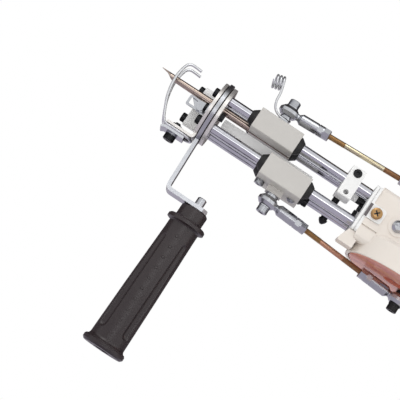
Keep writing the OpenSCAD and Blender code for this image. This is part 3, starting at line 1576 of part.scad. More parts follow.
back_disc();
disc_gasket();
handle_bracket();
front_disc();
presser_foot();
foot_clamp_plate();
grip_stud();
front_grip();
scissor_mount_block();
fixed_blade();
moving_blade();
needle_block();
needle_bearings();
needle_bearing_seals();
needle_shank();
needle();
yarn_guide();
scissor_block();
scissor_bearings();
scissor_bearing_seals();
push_bar();
scissor_rear_screw();
needle_rod_bar();
scissor_rod_bar();
shaft_bridge();
rear_plates();
side_tab_screws();
near_shell();
far_shell();
shell_screws();
gear_frame();
crank_bearings();
crankshaft();
upper_crank_disc();
lower_crank_disc();
bevel_gear();
bevel_pinion();
motor_rotor();
cooling_fan();
trigger();
trigger_switch();
speed_board();
speed_knob();
power_inlet();
foot_clamp_fasteners();
blade_fasteners();
needle_block_screws();
needle_pivot_ball();
needle_crank_pin();
needle_rod_joints();
scissor_block_screws();
scissor_pivot_ball();
scissor_crank_pin();
scissor_rod_joints();
bridge_tie_rod();
motor_casing();
shaft_screws();
guide_shaft_set();
bridge_bolts();
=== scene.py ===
"""Looks of a tufting tool: studio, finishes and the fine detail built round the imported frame."""

import logging
import math
from dataclasses import dataclass, field
from enum import Enum

import bmesh
import bpy
from mathutils import Matrix, Vector


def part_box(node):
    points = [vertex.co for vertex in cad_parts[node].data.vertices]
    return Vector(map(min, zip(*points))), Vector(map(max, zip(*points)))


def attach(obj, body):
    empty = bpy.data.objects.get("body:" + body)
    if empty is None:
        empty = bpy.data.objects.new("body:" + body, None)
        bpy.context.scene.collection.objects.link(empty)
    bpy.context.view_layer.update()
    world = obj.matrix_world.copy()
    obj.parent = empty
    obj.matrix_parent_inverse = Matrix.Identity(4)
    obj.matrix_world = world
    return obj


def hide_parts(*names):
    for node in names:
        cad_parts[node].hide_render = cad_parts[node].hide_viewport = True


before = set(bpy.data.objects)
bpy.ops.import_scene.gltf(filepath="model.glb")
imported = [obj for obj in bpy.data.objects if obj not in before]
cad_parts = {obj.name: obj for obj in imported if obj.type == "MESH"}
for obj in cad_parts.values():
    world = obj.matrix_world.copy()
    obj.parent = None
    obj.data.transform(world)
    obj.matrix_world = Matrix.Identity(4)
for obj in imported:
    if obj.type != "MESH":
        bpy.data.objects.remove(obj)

LOG = logging.getLogger("tufting_tool")
MM = 0.001


def linear(code: str) -> tuple[float, float, float, float]:
    """Turns an sRGB hex colour into linear light.

    Args:
        code: The colour as six hex digits.

    Returns:
        Red, green, blue and an alpha of one.
    """
    parts = [int(code[i:i + 2], 16) / 255 for i in (0, 2, 4)]
    lit = [p / 12.92 if p <= 0.04045 else ((p + 0.055) / 1.055) ** 2.4 for p in parts]
    return lit[0], lit[1], lit[2], 1.0


def add(
    tree: bpy.types.NodeTree,
    kind: str,
    settings: dict[str, object] | None = None,
    links: dict[object, bpy.types.NodeSocket] | None = None,
    **values: object,
) -> bpy.types.Node:
    """Adds one node with its settings and links.

    Args:
        tree: The node tree that gets the node.
        kind: The node's type name.
        settings: Attributes of the node itself.
        links: Input name or number to the output that feeds it.
        values: Input values, with spaces in a name written as underscores.

    Returns:
        The new node.
    """
    node = tree.nodes.new(kind)
    for name, value in (settings or {}).items():
        setattr(node, name, value)
    for name, value in values.items():
        node.inputs[name.replace("_", " ")].default_value = value
    for name, source in (links or {}).items():
        tree.links.new(source, node.inputs[name])
    return node


@dataclass(frozen=True)
class Texture:
    """A noise pattern on the object's own coordinates.

    Attributes:
        size_mm: Size of one blotch in millimetres.
        stretch: How much the pattern is squeezed along X, Y and Z.
        detail: Octaves of finer noise.
    """

    size_mm: float
    stretch: tuple[float, float, float] = (1.0, 1.0, 1.0)
    detail: float = 3.0

    def output(self, tree: bpy.types.NodeTree) -> bpy.types.NodeSocket:
        """Adds the noise to a tree.

        Args:
            tree: The material's tree.

        Returns:
            The noise's value.
        """
        place = add(tree, "ShaderNodeTexCoord").outputs["Object"]
        turned = add(tree, "ShaderNodeMapping", links={"Vector": place}, Scale=self.stretch)
        noise = add(
            tree, "ShaderNodeTexNoise", links={"Vector": turned.outputs["Vector"]},
            Scale=1 / (self.size_mm * MM), Detail=self.detail, Roughness=0.55,
        )
        return noise.outputs["Fac"]


@dataclass(frozen=True)
class Finish:
    """A surface: its colours, gloss and the fine relief that its making left.

    Attributes:
        name: The finish in a maker's words.
        colour: Main colour as sRGB hex.
        second: Colour of the blotches, as sRGB hex.
        metallic: One for bare metal, nought for plastic and paint.
        rough_low: Roughness where the surface is smoothest.
        rough_high: Roughness where it is dullest.
        cloud: Pattern of the colour's and roughness's slow change.
        grain: Pattern of the fine relief.
        relief_mm: Depth of the fine relief in millimetres.
        coat: Weight of a clear coat.
        anisotropy: How far highlights spread across the grain.
    """

    name: str
    colour: str
    second: str
    metallic: float
    rough_low: float
    rough_high: float
    cloud: Texture
    grain: Texture
    relief_mm: float
    coat: float = 0.0
    anisotropy: float = 0.0

    def material(self) -> bpy.types.Material:
        """Builds the finish, or gives it back if it is there.

        Returns:
            The node-based material.
        """
        found = bpy.data.materials.get(self.name)
        if found:
            return found
        made = bpy.data.materials.new(self.name)
        made.use_nodes = True
        tree = made.node_tree
        shader = tree.nodes["Principled BSDF"]
        cloud = self.cloud.output(tree)
        mix = add(
            tree, "ShaderNodeMix", {"data_type": "RGBA"}, {0: cloud},
        )
        mix.inputs[6].default_value = linear(self.colour)
        mix.inputs[7].default_value = linear(self.second)
        tree.links.new(mix.outputs[2], shader.inputs["Base Color"])
        rough = add(
            tree, "ShaderNodeMapRange", links={"Value": cloud},
            To_Min=self.rough_low, To_Max=self.rough_high,
        )
        tree.links.new(rough.outputs["Result"], shader.inputs["Roughness"])
        bump = add(
            tree, "ShaderNodeBump", links={"Height": self.grain.output(tree)},
            Strength=1.0, Distance=self.relief_mm * MM,
        )
        tree.links.new(bump.outputs["Normal"], shader.inputs["Normal"])
        shader.inputs["Metallic"].default_value = self.metallic
        shader.inputs["Coat Weight"].default_value = self.coat
        shader.inputs["Anisotropic"].default_value = self.anisotropy
        return made


class Coat(Enum):
    """The finishes that the tool's pieces have."""

    # Bright zinc on cut sheet and wire: cool grey, soft streaky reflections
    ZINC = Finish(
        "bright_zinc_plate", "C3C5C9", "AEB0B5", 1.0, 0.22, 0.34,
        Texture(7), Texture(0.7), 0.006,
    )
    # Turned discs under bright zinc: almost white where they face the window
    DISC = Finish(
        "turned_zinc_disc", "E6E3E0", "D3CFCC", 0.7, 0.24, 0.36,
        Texture(8), Texture(0.5, (1, 0.3, 0.3)), 0.004,
    )
    # Drawn steel wire under bright zinc: lighter and smoother than the sheet
    WIRE = Finish(
        "bright_zinc_wire", "D9DADC", "CCCED1", 0.85, 0.26, 0.36,
        Texture(5), Texture(0.6), 0.003,
    )
    # Ground and hard-chromed rod: mirror bright with faint rings round it
    CHROME = Finish(
        "hard_chrome_ground_shaft", "CFD0D5", "BDBEC5", 1.0, 0.07, 0.13,
        Texture(9, (1, 0.2, 0.2)), Texture(0.5, (1, 0.05, 0.05)), 0.0015, anisotropy=0.3,
    )
    # Turned and ground steel of balls, bolts and bearing shells
    STEEL = Finish(
        "turned_bright_steel", "BFC1C5", "A3A5AA", 1.0, 0.16, 0.28,
        Texture(4), Texture(0.35), 0.004,
    )
    # Polished stainless tube, warm in its reflections
    NEEDLE = Finish(
        "polished_needle_tube", "BFAFA3", "A3948A", 1.0, 0.16, 0.26,
        Texture(6, (0.4, 1, 1)), Texture(0.5, (1, 0.1, 0.1)), 0.002,
    )
    # Chemically blackened cap screws: near black, oily satin
    BLACK_OXIDE = Finish(
        "black_oxide_steel", "1B1C1E", "2A2B2D", 0.6, 0.3, 0.45,
        Texture(2), Texture(0.3), 0.006,
    )
    # Bead-blasted and clear anodised aluminium: even pale grey, no mirror
    ANODISED = Finish(
        "bead_blasted_anodised_aluminium", "C8C5C1", "C1BEBA", 0.15, 0.42, 0.5,
        Texture(12), Texture(0.25), 0.012,
    )
    # White powder coat with a faint orange peel
    WHITE_COAT = Finish(
        "white_powder_coat", "F4F4F4", "EFEFEF", 0.0, 0.34, 0.44,
        Texture(15), Texture(0.9), 0.02,
    )
    # Yellow passivated zinc: brassy with pink and green blushes
    YELLOW_ZINC = Finish(
        "yellow_passivated_zinc", "B8925C", "9C7A58", 0.8, 0.24, 0.38,
        Texture(3), Texture(0.4), 0.006,
    )
    # The same passivate, browner and darker on the rear threads by the crank
    BRONZE_ZINC = Finish(
        "brown_rear_passivate", "A67C56", "8C6A50", 0.7, 0.26, 0.4,
        Texture(3), Texture(0.4), 0.006,
    )
    # Plain middle of the lower rod: orange passivate with a pink blush
    ORANGE_ZINC = Finish(
        "orange_passivated_rod", "BF9074", "B07C68", 0.6, 0.2, 0.3,
        Texture(6, (0.4, 1, 1)), Texture(0.5), 0.003,
    )
    # Plain middle of the upper rod: pale straw passivate
    STRAW_ZINC = Finish(
        "straw_passivated_rod", "DDD6BC", "BFB08C", 1.0, 0.2, 0.3,
        Texture(6, (0.4, 1, 1)), Texture(0.5), 0.003,
    )
    # Turned crank disc under yellow passivate: pink, orange and lilac blushes
    CRANK = Finish(
        "turned_crank_disc", "F4B27C", "C8647C", 0.35, 0.16, 0.3,
        Texture(9, (0.35, 1, 1), 1.0), Texture(0.4), 0.001,
    )
    # Moulded nitrile seal, whose black also paints the shade in the screw heads' cross recesses
    RUBBER_AND_RECESS_SHADE = Finish(
        "nitrile_rubber_and_recess_shade", "191919", "232323", 0.0, 0.5, 0.62,
        Texture(3), Texture(0.3), 0.01,
    )
    # Black moulded grip with a slight sheen
    GRIP = Finish(
        "moulded_black_grip", "2A2123", "2F2628", 0.0, 0.34, 0.4,
        Texture(10), Texture(0.6), 0.002,
    )
    # Ivory glossy moulding of the body
    IVORY = Finish(
        "moulded_ivory_abs", "EAE3DC", "E4DBD2", 0.0, 0.24, 0.34,
        Texture(40), Texture(1.2), 0.005, coat=0.2,
    )
    # Sand-cast aluminium frame inside the body
    CAST = Finish(
        "sand_cast_aluminium", "9A9B9C", "86888A", 0.9, 0.45, 0.6,
        Texture(5), Texture(0.8), 0.06,
    )
    # Dark grey of painted shade, standing for the shadowed gap at the bend of the white plate's tab
    TAB_GAP_SHADE = Finish(
        "painted_tab_gap_shade", "6E686A", "585254", 0.2, 0.3, 0.4,
        Texture(3), Texture(0.4), 0.004,
    )
    # Lacquered copper windings
    COPPER = Finish(
        "lacquered_copper_winding", "A8653A", "7E4526", 0.9, 0.3, 0.4,
        Texture(2), Texture(0.5, (0.1, 1, 1)), 0.05,
    )
    # Green coated circuit board
    BOARD = Finish(
        "green_circuit_board", "1F5A3A", "184A30", 0.0, 0.3, 0.4,
        Texture(3), Texture(0.5), 0.01,
    )
    # Dark fibre gasket
    GASKET = Finish(
        "dark_fibre_gasket", "2A2622", "3A332C", 0.0, 0.7, 0.85,
        Texture(2), Texture(0.4), 0.03,
    )


COATS = {
    Coat.ZINC: (
        "handle_bracket presser_foot foot_clamp_plate grip_stud yarn_guide needle_rod_joints "
        "scissor_rod_joints shell_screws"
    ),
    Coat.DISC: "back_disc front_disc",
    Coat.CHROME: "guide_shaft_set",
    Coat.STEEL: (
        "fixed_blade moving_blade needle_bearings scissor_bearings crank_bearings crankshaft "
        "bevel_gear bevel_pinion needle_block_screws needle_pivot_ball needle_crank_pin "
        "scissor_block_screws scissor_pivot_ball motor_casing"
    ),
    Coat.NEEDLE: "needle needle_shank",
    Coat.BLACK_OXIDE: (
        "scissor_rear_screw foot_clamp_fasteners blade_fasteners shaft_screws bridge_bolts "
        "bridge_tie_rod scissor_crank_pin"
    ),
    Coat.ANODISED: "needle_block scissor_block",
    Coat.WHITE_COAT: "scissor_mount_block push_bar shaft_bridge rear_plates",
    Coat.YELLOW_ZINC: "needle_rod_bar scissor_rod_bar side_tab_screws",
    Coat.CRANK: "upper_crank_disc lower_crank_disc",
    Coat.RUBBER_AND_RECESS_SHADE: "needle_bearing_seals scissor_bearing_seals",
    Coat.GRIP: "front_grip trigger speed_knob power_inlet cooling_fan trigger_switch",
    Coat.IVORY: "near_shell far_shell",
    Coat.CAST: "gear_frame",
    Coat.COPPER: "motor_rotor",
    Coat.BOARD: "speed_board",
    Coat.GASKET: "disc_gasket",
}


def dress_frame() -> None:
    """Gives every carried-over node its finish."""
    for coat, names in COATS.items():
        for name in names.split():
            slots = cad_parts[name].material_slots
            for slot in slots:
                slot.material = coat.value.material()
            LOG.info("%s: %s", name, coat.value.name)


@dataclass
class Place:
    """The tool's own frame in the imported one: X from the discs' rear face, Z from the shafts' middle."""

    x: float = 0.0
    z: float = 0.0

    def __post_init__(self) -> None:
        """Reads the place from the back disc and the guide shafts."""
        self.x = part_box("back_disc")[1][0]
        low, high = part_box("guide_shaft_set")
        self.z = (low[2] + high[2]) / 2

    def at(self, x: float, y: float, z: float) -> Vector:
        """A point given in millimetres in the tool's frame, in metres."""
        return Vector((self.x + x * MM, y * MM, self.z + z * MM))


@dataclass
class Rule:
    """A Geometry Nodes tree with named inputs, which a piece is made from.

    Attributes:
        name: What the tree makes.
        tree: The tree itself.
        source: Its group input node.
    """

    name: str
    tree: bpy.types.NodeTree = field(init=False)
    source: bpy.types.Node = field(init=False)

    def __post_init__(self) -> None:
        """Starts the tree with its geometry and its material input."""
        self.tree = bpy.data.node_groups.new(self.name, "GeometryNodeTree")
        self.tree.interface.new_socket("Geometry", in_out="OUTPUT", socket_type="NodeSocketGeometry")
        self.tree.interface.new_socket("Geometry", in_out="INPUT", socket_type="NodeSocketGeometry")
        self.tree.interface.new_socket("Material", in_out="INPUT", socket_type="NodeSocketMaterial")
        self.source = self.tree.nodes.new("NodeGroupInput")

    def size(self, name: str, kind: str = "NodeSocketFloat") -> bpy.types.NodeSocket:
        """Adds a named input.

        Args:
            name: The input's name.
            kind: Its socket type.

        Returns:
            The group input's socket for it.
        """
        self.tree.interface.new_socket(name, in_out="INPUT", socket_type=kind)
        return self.source.outputs[name]

    def node(
        self,
        kind: str,
        settings: dict[str, object] | None = None,
        links: dict[object, bpy.types.NodeSocket] | None = None,
        **values: object,
    ) -> bpy.types.Node:
        """Adds one node to the tree, as add does."""
        return add(self.tree, kind, settings, links, **values)

    def sum(self, kind: str, a: object, b: object) -> bpy.types.NodeSocket:
        """Adds one step of arithmetic.

        Args:
            kind: The operation.
            a: The first number or socket.
            b: The second number or socket.

        Returns:
            The result's socket.
        """
        step = self.node("ShaderNodeMath", {"operation": kind})
        for place, value in enumerate((a, b)):
            if isinstance(value, bpy.types.NodeSocket):
                self.tree.links.new(value, step.inputs[place])
            else:
                step.inputs[place].default_value = value
        return step.outputs[0]

    def close(self, geometry: bpy.types.NodeSocket) -> None:
        """Ends the tree in Realize Instances and Set Material.

        Args:
            geometry: What the tree has made.
        """
        real = self.node("GeometryNodeRealizeInstances", links={"Geometry": geometry})
        dressed = self.node(
            "GeometryNodeSetMaterial",
            links={"Geometry": real.outputs[0], "Material": self.source.outputs["Material"]},
        )
        self.node("NodeGroupOutput", links={"Geometry": dressed.outputs[0]})

    def make(
        self, name: str, mesh: bpy.types.Mesh, coat: Coat, sizes: dict[str, object],
    ) -> bpy.types.Object:
        """Runs the tree on a mesh and keeps the result as a plain object.

        Args:
            name: The new piece's name.
            mesh: The points or edges that the tree starts from.
            coat: The piece's finish.
            sizes: Each named input's value.

        Returns:
            The new object, at the origin, with no modifier.
        """
        start = bpy.data.objects.new(name + "_start", mesh)
        bpy.context.scene.collection.objects.link(start)
        modifier = start.modifiers.new(self.name, "NODES")
        modifier.node_group = self.tree
        values = {**sizes, "Material": coat.value.material()}
        for item in self.tree.interface.items_tree:
            if item.in_out == "INPUT" and item.name in values:
                modifier[item.identifier] = values[item.name]
        graph = bpy.context.evaluated_depsgraph_get()
        made = bpy.data.meshes.new_from_object(start.evaluated_get(graph), depsgraph=graph)
        bpy.data.objects.remove(start)
        made.name = name
        piece = bpy.data.objects.new(name, made)
        bpy.context.scene.collection.objects.link(piece)
        return piece


def wire_rule() -> Rule:
    """Makes the tree that draws a round wire along a chain of edges.

    Returns:
        A rule with inputs Radius and Sides.
    """
    rule = Rule("round_wire")
    radius = rule.size("Radius")
    sides = rule.size("Sides", "NodeSocketInt")
    curve = rule.node("GeometryNodeMeshToCurve", links={"Mesh": rule.source.outputs["Geometry"]})
    ring = rule.node("GeometryNodeCurvePrimitiveCircle", links={"Radius": radius, "Resolution": sides})
    tube = rule.node(
        "GeometryNodeCurveToMesh",
        links={"Curve": curve.outputs[0], "Profile Curve": ring.outputs[0]}, Fill_Caps=True,
    )
    rule.close(tube.outputs[0])
    return rule


def placed_points(name: str, points: list[Vector], axes: list[Vector]) -> bpy.types.Mesh:
    """A mesh of loose points, each with an axis for what a tree sets on it.

    Args:
        name: The mesh's name.
        points: Where they are, in metres.
        axes: Each point's axis.

    Returns:
        The mesh with the attribute axis.
    """
    mesh = bpy.data.meshes.new(name)
    mesh.from_pydata([tuple(p) for p in points], [], [])
    data = mesh.attributes.new("axis", "FLOAT_VECTOR", "POINT").data
    for item, axis in zip(data, axes):
        item.vector = axis
    return mesh


def set_on_points(rule: Rule, shape: bpy.types.NodeSocket) -> None:
    """Closes a rule by setting one shape, drawn along Z, on every point along the point's axis.

    Args:
        rule: The rule to close.
        shape: The shape's geometry.
    """
    axis = rule.node("GeometryNodeInputNamedAttribute", {"data_type": "FLOAT_VECTOR"}, Name="axis")
    turn = rule.node(
        "FunctionNodeAlignRotationToVector", {"axis": "Z"}, {"Vector": axis.outputs["Attribute"]},
    )
    points = rule.source.outputs["Geometry"]
    rule.close(rule.node(
        "GeometryNodeInstanceOnPoints",
        links={"Points": points, "Instance": shape, "Rotation": turn.outputs[0]},
    ).outputs[0])


def thread_rule() -> Rule:
    """Makes the tree that draws a screw thread on every point, along the point's axis.

    Returns:
        A rule with inputs Diameter, Length, Pitch, Depth and Rings.
    """
    rule = Rule("screw_thread")
    diameter, length = rule.size("Diameter"), rule.size("Length")
    pitch, depth = rule.size("Pitch"), rule.size("Depth")
    rings = rule.size("Rings", "NodeSocketInt")
    rod = rule.node(
        "GeometryNodeMeshCylinder",
        links={"Radius": rule.sum("MULTIPLY", diameter, 0.5), "Depth": length, "Side Segments": rings},
        Vertices=20,
    )
    parts = rule.node(
        "ShaderNodeSeparateXYZ", links={0: rule.node("GeometryNodeInputPosition").outputs[0]},
    )
    x, y, z = parts.outputs[0], parts.outputs[1], parts.outputs[2]
    turn = rule.sum("DIVIDE", rule.sum("ARCTAN2", y, x), math.tau)
    phase = rule.sum("SUBTRACT", rule.sum("DIVIDE", z, pitch), turn)
    groove = rule.sum("MULTIPLY", rule.sum("PINGPONG", phase, 0.5), rule.sum("MULTIPLY", depth, 2))
    inward = rule.node("ShaderNodeCombineXYZ", links={0: x, 1: y})
    unit = rule.node("ShaderNodeVectorMath", {"operation": "NORMALIZE"}, {0: inward.outputs[0]})
    shift = rule.node(
        "ShaderNodeVectorMath", {"operation": "SCALE"},
        {0: unit.outputs[0], "Scale": rule.sum("MULTIPLY", groove, -1)},
    )
    cut = rule.node(
        "GeometryNodeSetPosition", links={"Geometry": rod.outputs["Mesh"], "Offset": shift.outputs[0]},
    )
    lift = rule.node("ShaderNodeCombineXYZ", links={2: rule.sum("MULTIPLY", length, 0.5)})
    raised = rule.node(
        "GeometryNodeTransform", links={"Geometry": cut.outputs[0], "Translation": lift.outputs[0]},
    )
    set_on_points(rule, raised.outputs[0])
    return rule


def knurl_rule() -> Rule:
    """Makes the tree that sets a ring of straight knurls round every cap-screw head.

    Returns:
        A rule with inputs Count, Height, Width, Depth and Head Radius.
    """
    rule = Rule("knurled_head")
    count = rule.size("Count", "NodeSocketInt")
    height, width, depth = rule.size("Height"), rule.size("Width"), rule.size("Depth")
    size = rule.size("Head Radius")
    ring = rule.node("GeometryNodeMeshCircle", links={"Vertices": count, "Radius": size})
    block = rule.node("ShaderNodeCombineXYZ", links={0: depth, 1: width, 2: height})
    ridge = rule.node("GeometryNodeMeshCube", links={"Size": block.outputs[0]})
    outward = rule.node(
        "FunctionNodeAlignRotationToVector", {"axis": "X"},
        {"Vector": rule.node("GeometryNodeInputPosition").outputs[0]},
    )
    ridges = rule.node(
        "GeometryNodeInstanceOnPoints",
        links={
            "Points": ring.outputs[0], "Instance": ridge.outputs["Mesh"], "Rotation": outward.outputs[0],
        },
    )
    set_on_points(rule, ridges.outputs[0])
    return rule


def shade(piece: bpy.types.Object, angle: float = 40.0) -> None:
    """Shades a piece smooth up to an angle between its faces.

    Args:
        piece: The piece.
        angle: The sharpest angle that is still smooth, in degrees.
    """
    piece.data.shade_smooth()
    piece.data.set_sharp_from_angle(angle=math.radians(angle))


def keep(piece: bpy.types.Object, body: str, *nodes: str) -> bpy.types.Object:
    """Sets a piece on its body, and in the place of the nodes that it stands for.

    Args:
        piece: The finished piece.
        body: The CAD body that carries it.
        nodes: The CAD nodes that it replaces.

    Returns:
        The same piece.
    """
    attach(piece, body)
    if nodes:
        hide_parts(*nodes)
    LOG.info("%s rides on %s", piece.name, body)
    return piece


def bend_smoothly(points: list[Vector], steps: int) -> list[Vector]:
    """A smooth chain through chosen points, on the same curve as the CAD wire's.

    Args:
        points: The chosen points.
        steps: How many short pieces lie between each two.

    Returns:
        The chain's points.
    """
    last = len(points) - 1
    chain = []
    for i in range(last):
        p, q, r, s = points[max(i - 1, 0)], points[i], points[i + 1], points[min(i + 2, last)]
        for j in range(steps):
            k = j / steps
            chain.append((
                q * 2 + (r - p) * k + (p * 2 - q * 5 + r * 4 - s) * k ** 2
                + (q * 3 - p - r * 3 + s) * k ** 3
            ) / 2)
    return [*chain, points[last]]


def chain_mesh(name: str, points: list[Vector]) -> bpy.types.Mesh:
    """A mesh of edges from point to point."""
    mesh = bpy.data.meshes.new(name)
    mesh.from_pydata([tuple(p) for p in points], [(i, i + 1) for i in range(len(points) - 1)], [])
    return mesh


def turned(name: str, low: Vector, axis: Vector, profile: list[tuple[float, float]], coat: Coat,
           sides: int = 32) -> bpy.types.Object:
    """A turned piece: a profile spun round an axis.

    Args:
        name: The piece's name.
        low: Where the profile's height is nought, in metres.
        axis: Direction of the profile's height.
        profile: Radius and height of each corner in millimetres, from one end to the other.
        coat: The piece's finish.
        sides: Faces round the axis.

    Returns:
        The new object, at the origin.
    """
    turn = axis.normalized().to_track_quat("Z", "Y").to_matrix()
    form = bmesh.new()
    rings = []
    for radius, height in profile:
        ring = []
        for i in range(sides):
            a = math.tau * i / sides
            at = Vector((radius * math.cos(a), radius * math.sin(a), height)) * MM
            ring.append(form.verts.new(low + turn @ at))
        rings.append(ring)
    for one, two in zip(rings, rings[1:]):
        for i in range(sides):
            form.faces.new((one[i], one[(i + 1) % sides], two[(i + 1) % sides], two[i]))
    form.faces.new(list(reversed(rings[0])))
    form.faces.new(rings[-1])
    bmesh.ops.recalc_face_normals(form, faces=form.faces)
    mesh = bpy.data.meshes.new(name)
    form.to_mesh(mesh)
    form.free()
    mesh.materials.append(coat.value.material())
    piece = bpy.data.objects.new(name, mesh)
    bpy.context.scene.collection.objects.link(piece)
    shade(piece, 30)
    return piece


@dataclass
class Wires:
    """The presser foot and the yarn guide, bent from bright wire.

    Attributes:
        place: The tool's own frame.
        rule: The tree that draws a round wire.
        foot_r: Radius of the presser foot's wire in millimetres.
        foot_half: Half the distance between its prongs.
        foot_z: Height of its clamped loop.
        guide_r: Radius of the yarn guide's wire.
        coil_r: Radius of the yarn guide's coil.
        coil_pitch: Rise of the coil for each turn.
    """

    place: Place
    rule: Rule
    foot_r: float = 1.1
    foot_half: float = 8.5
    foot_z: float = -27.5
    guide_r: float = 0.95
    coil_r: float = 5.05
    coil_pitch: float = 2.6

    def presser_foot(self) -> None:
        """Two prongs from the clamped loop round the front to their tips beside the needle."""
        corners = [
            (-30.75, 20.4), (-36, 20.8), (-40, 20.5), (-42.9, 17.6), (-44.6, 9), (-44.2, 0.8),
            (-42, -9.1), (-38.4, -17.6), (-34.9, self.foot_z + 3), (-31.2, self.foot_z),
            (-25, self.foot_z), (-17, self.foot_z),
        ]
        near = bend_smoothly([self.place.at(x, -self.foot_half, z) for x, z in corners], 8)
        far = [Vector((p.x, -p.y, p.z)) for p in reversed(near)]
        bend = [
            self.place.at(
                -17 + self.foot_half * math.sin(math.radians(a)),
                -self.foot_half * math.cos(math.radians(a)), self.foot_z,
            )
            for a in range(6, 180, 6)
        ]
        wire = self.rule.make(
            "presser_foot_wire", chain_mesh("foot_path", [*near, *bend, *far]), Coat.WIRE,
            {"Radius": self.foot_r * MM, "Sides": 20},
        )
        shade(wire)
        keep(wire, "frame", "presser_foot")

    def yarn_guide(self) -> None:
        """An eye under the pivot bolt, an arm that leans forward and a coil of three turns."""
        eye, lean = 3.65, math.radians(14.3)
        at = self.place.at
        loop = [
            at(41 + eye * math.cos(math.radians(a)), eye * math.sin(math.radians(a)), 26)
            for a in range(170, -80, -10)
        ]
        coil_at = Vector((25.2, 0, 49.6))
        arm = bend_smoothly([
            at(41, -eye, 26), at(36, -eye, 26.4), at(31.2, 0.4 - self.coil_r, 28.8),
            at(28.4, -self.coil_r, 34), at(27.4, -self.coil_r, 41.6), at(25.2, -self.coil_r, 49.6),
        ], 8)
        up = Vector((-math.sin(lean), 0, math.cos(lean)))
        along = Vector((-math.cos(lean), 0, -math.sin(lean)))
        coil = []
        for a in range(10, 1085, 10):
            t = math.radians(a)
            spot = (
                coil_at + up * self.coil_r * math.sin(t) - Vector((0, 1, 0)) * self.coil_r * math.cos(t)
                + along * self.coil_pitch * a / 360
            )
            coil.append(at(*spot))
        wire = self.rule.make(
            "yarn_guide_wire", chain_mesh("guide_path", [*loop, *arm, *coil]), Coat.WIRE,
            {"Radius": self.guide_r * MM, "Sides": 16},
        )
        shade(wire)
        keep(wire, "needle_carriage", "yarn_guide")


@dataclass
class ConnectingRod:
    """A rod with a rolled thread at each end and a plain, slightly thinner middle.

    Attributes:
        name: First words of its pieces' names.
        node: The CAD node that it stands for.
        body: The body that carries it.
        low: Its carriage ball, in metres.
        high: Its crank ball, in metres.
        middle: Finish of the plain middle.
        front: Distance from the carriage ball to the end of the front thread, in millimetres.
        rear: Distance from the carriage ball to the start of the rear thread, or from the crank ball
            if it is below nought.
        seat: Distance from each ball to the rod's end.
        diameter: Outer diameter of the thread.
        pitch: Pitch of the thread.
    """

    name: str
    node: str
    body: str
    low: Vector
    high: Vector
    middle: Coat
    front: float = 49.5
    rear: float = 71.0
    seat: float = 22.5
    diameter: float = 4.6
    pitch: float = 0.8

    def build(self, thread: Rule) -> None:
        """Makes the two threads and the middle.

        Args:
            thread: The tree that draws a screw thread.
        """
        axis = (self.high - self.low).normalized()
        length = (self.high - self.low).length / MM
        rear = length + self.rear if self.rear < 0 else self.rear
        spans = {"front": (self.seat, self.front), "rear": (rear, length - self.seat)}
        for end, (start, stop) in spans.items():
            piece = thread.make(
                f"{self.name}_{end}_thread",
                placed_points("thread_at", [self.low + axis * start * MM], [axis]),
                Coat.YELLOW_ZINC if end == "front" else Coat.BRONZE_ZINC,
                {
                    "Diameter": self.diameter * MM, "Length": (stop - start) * MM,
                    "Pitch": self.pitch * MM, "Depth": 0.36 * MM, "Rings": round((stop - start) * 10),
                },
            )
            shade(piece, 50)
            keep(piece, self.body, self.node)
        plain = self.diameter / 2 - 0.25
        core = turned(
            f"{self.name}_plain_middle", self.low, axis,
            [
                (1.6, self.front - 0.9), (plain - 0.1, self.front - 0.1), (plain, self.front + 0.4),
                (plain, rear - 0.4), (plain - 0.1, rear + 0.1), (1.6, rear + 0.9),
            ],
            self.middle,
        )
        keep(core, self.body, self.node)


@dataclass
class HeadKnurls:
    """The straight knurls rolled round every cap screw's head.

    Attributes:
        place: The tool's own frame.
        rule: The tree that draws one head's knurls.
        proud: How far a knurl stands out, in millimetres.
        shaft_half: Half the distance between two shafts, where their screws sit.
    """

    place: Place
    rule: Rule
    proud: float = 0.22
    shaft_half: float = 12.25

    def ring(self, name: str, body: str, coat: Coat, head_d: float, head_h: float,
             spots: list[tuple[float, float, float]], axis: Vector) -> None:
        """Sets knurls round heads of one size on one body.

        Args:
            name: The piece's name.
            body: The body that carries the screws.
            coat: The screws' finish.
            head_d: Diameter of the heads in millimetres.
            head_h: Their height.
            spots: Where the heads sit, in the tool's frame.
            axis: The way that the heads face.
        """
        count = round(math.pi * head_d / 0.62)
        middles = [self.place.at(*s) + axis * (head_h - 0.4) / 2 * MM for s in spots]
        piece = self.rule.make(
            name, placed_points("heads", middles, [axis] * len(middles)), coat,
            {
                "Count": count, "Height": (head_h - 0.7) * MM, "Width": 0.3 * MM,
                "Depth": 2 * self.proud * MM, "Head Radius": head_d / 2 * MM,
            },
        )
        keep(piece, body)

    def build(self) -> None:
        """Knurls every cap screw that shows."""
        front, up, down = Vector((-1, 0, 0)), Vector((0, 0, 1)), Vector((0, 0, -1))
        black = Coat.BLACK_OXIDE
        half = self.shaft_half
        self.ring("front_screw_knurls", "frame", black, 7, 4, [
            (-10.1, -half, half), (-10.1, -half, -half), (-22.1, half, half), (-22.1, half, -half),
        ], front)
        self.ring("blade_screw_knurls", "frame", black, 7, 2.6, [(-11.6, -8.8, -0.6)], front)
        self.ring("foot_screw_knurls", "frame", black, 8.5, 5, [(-23.6, 0, -31.6)], down)
        self.ring("needle_pivot_knurls", "needle_carriage", Coat.STEEL, 8.5, 5, [(41, 0, 38.5)], up)
        self.ring("scissor_pivot_knurls", "scissor_carriage", Coat.STEEL, 8.5, 5, [(65, 0, -38.1)], down)
        self.ring("bar_screw_knurls", "scissor_carriage", Coat.STEEL, 7, 4, [(51.5, 0, -22.25)], down)
        self.ring("rear_screw_knurls", "scissor_carriage", black, 7, 4, [(86.6, 0, -17.6)], -front)


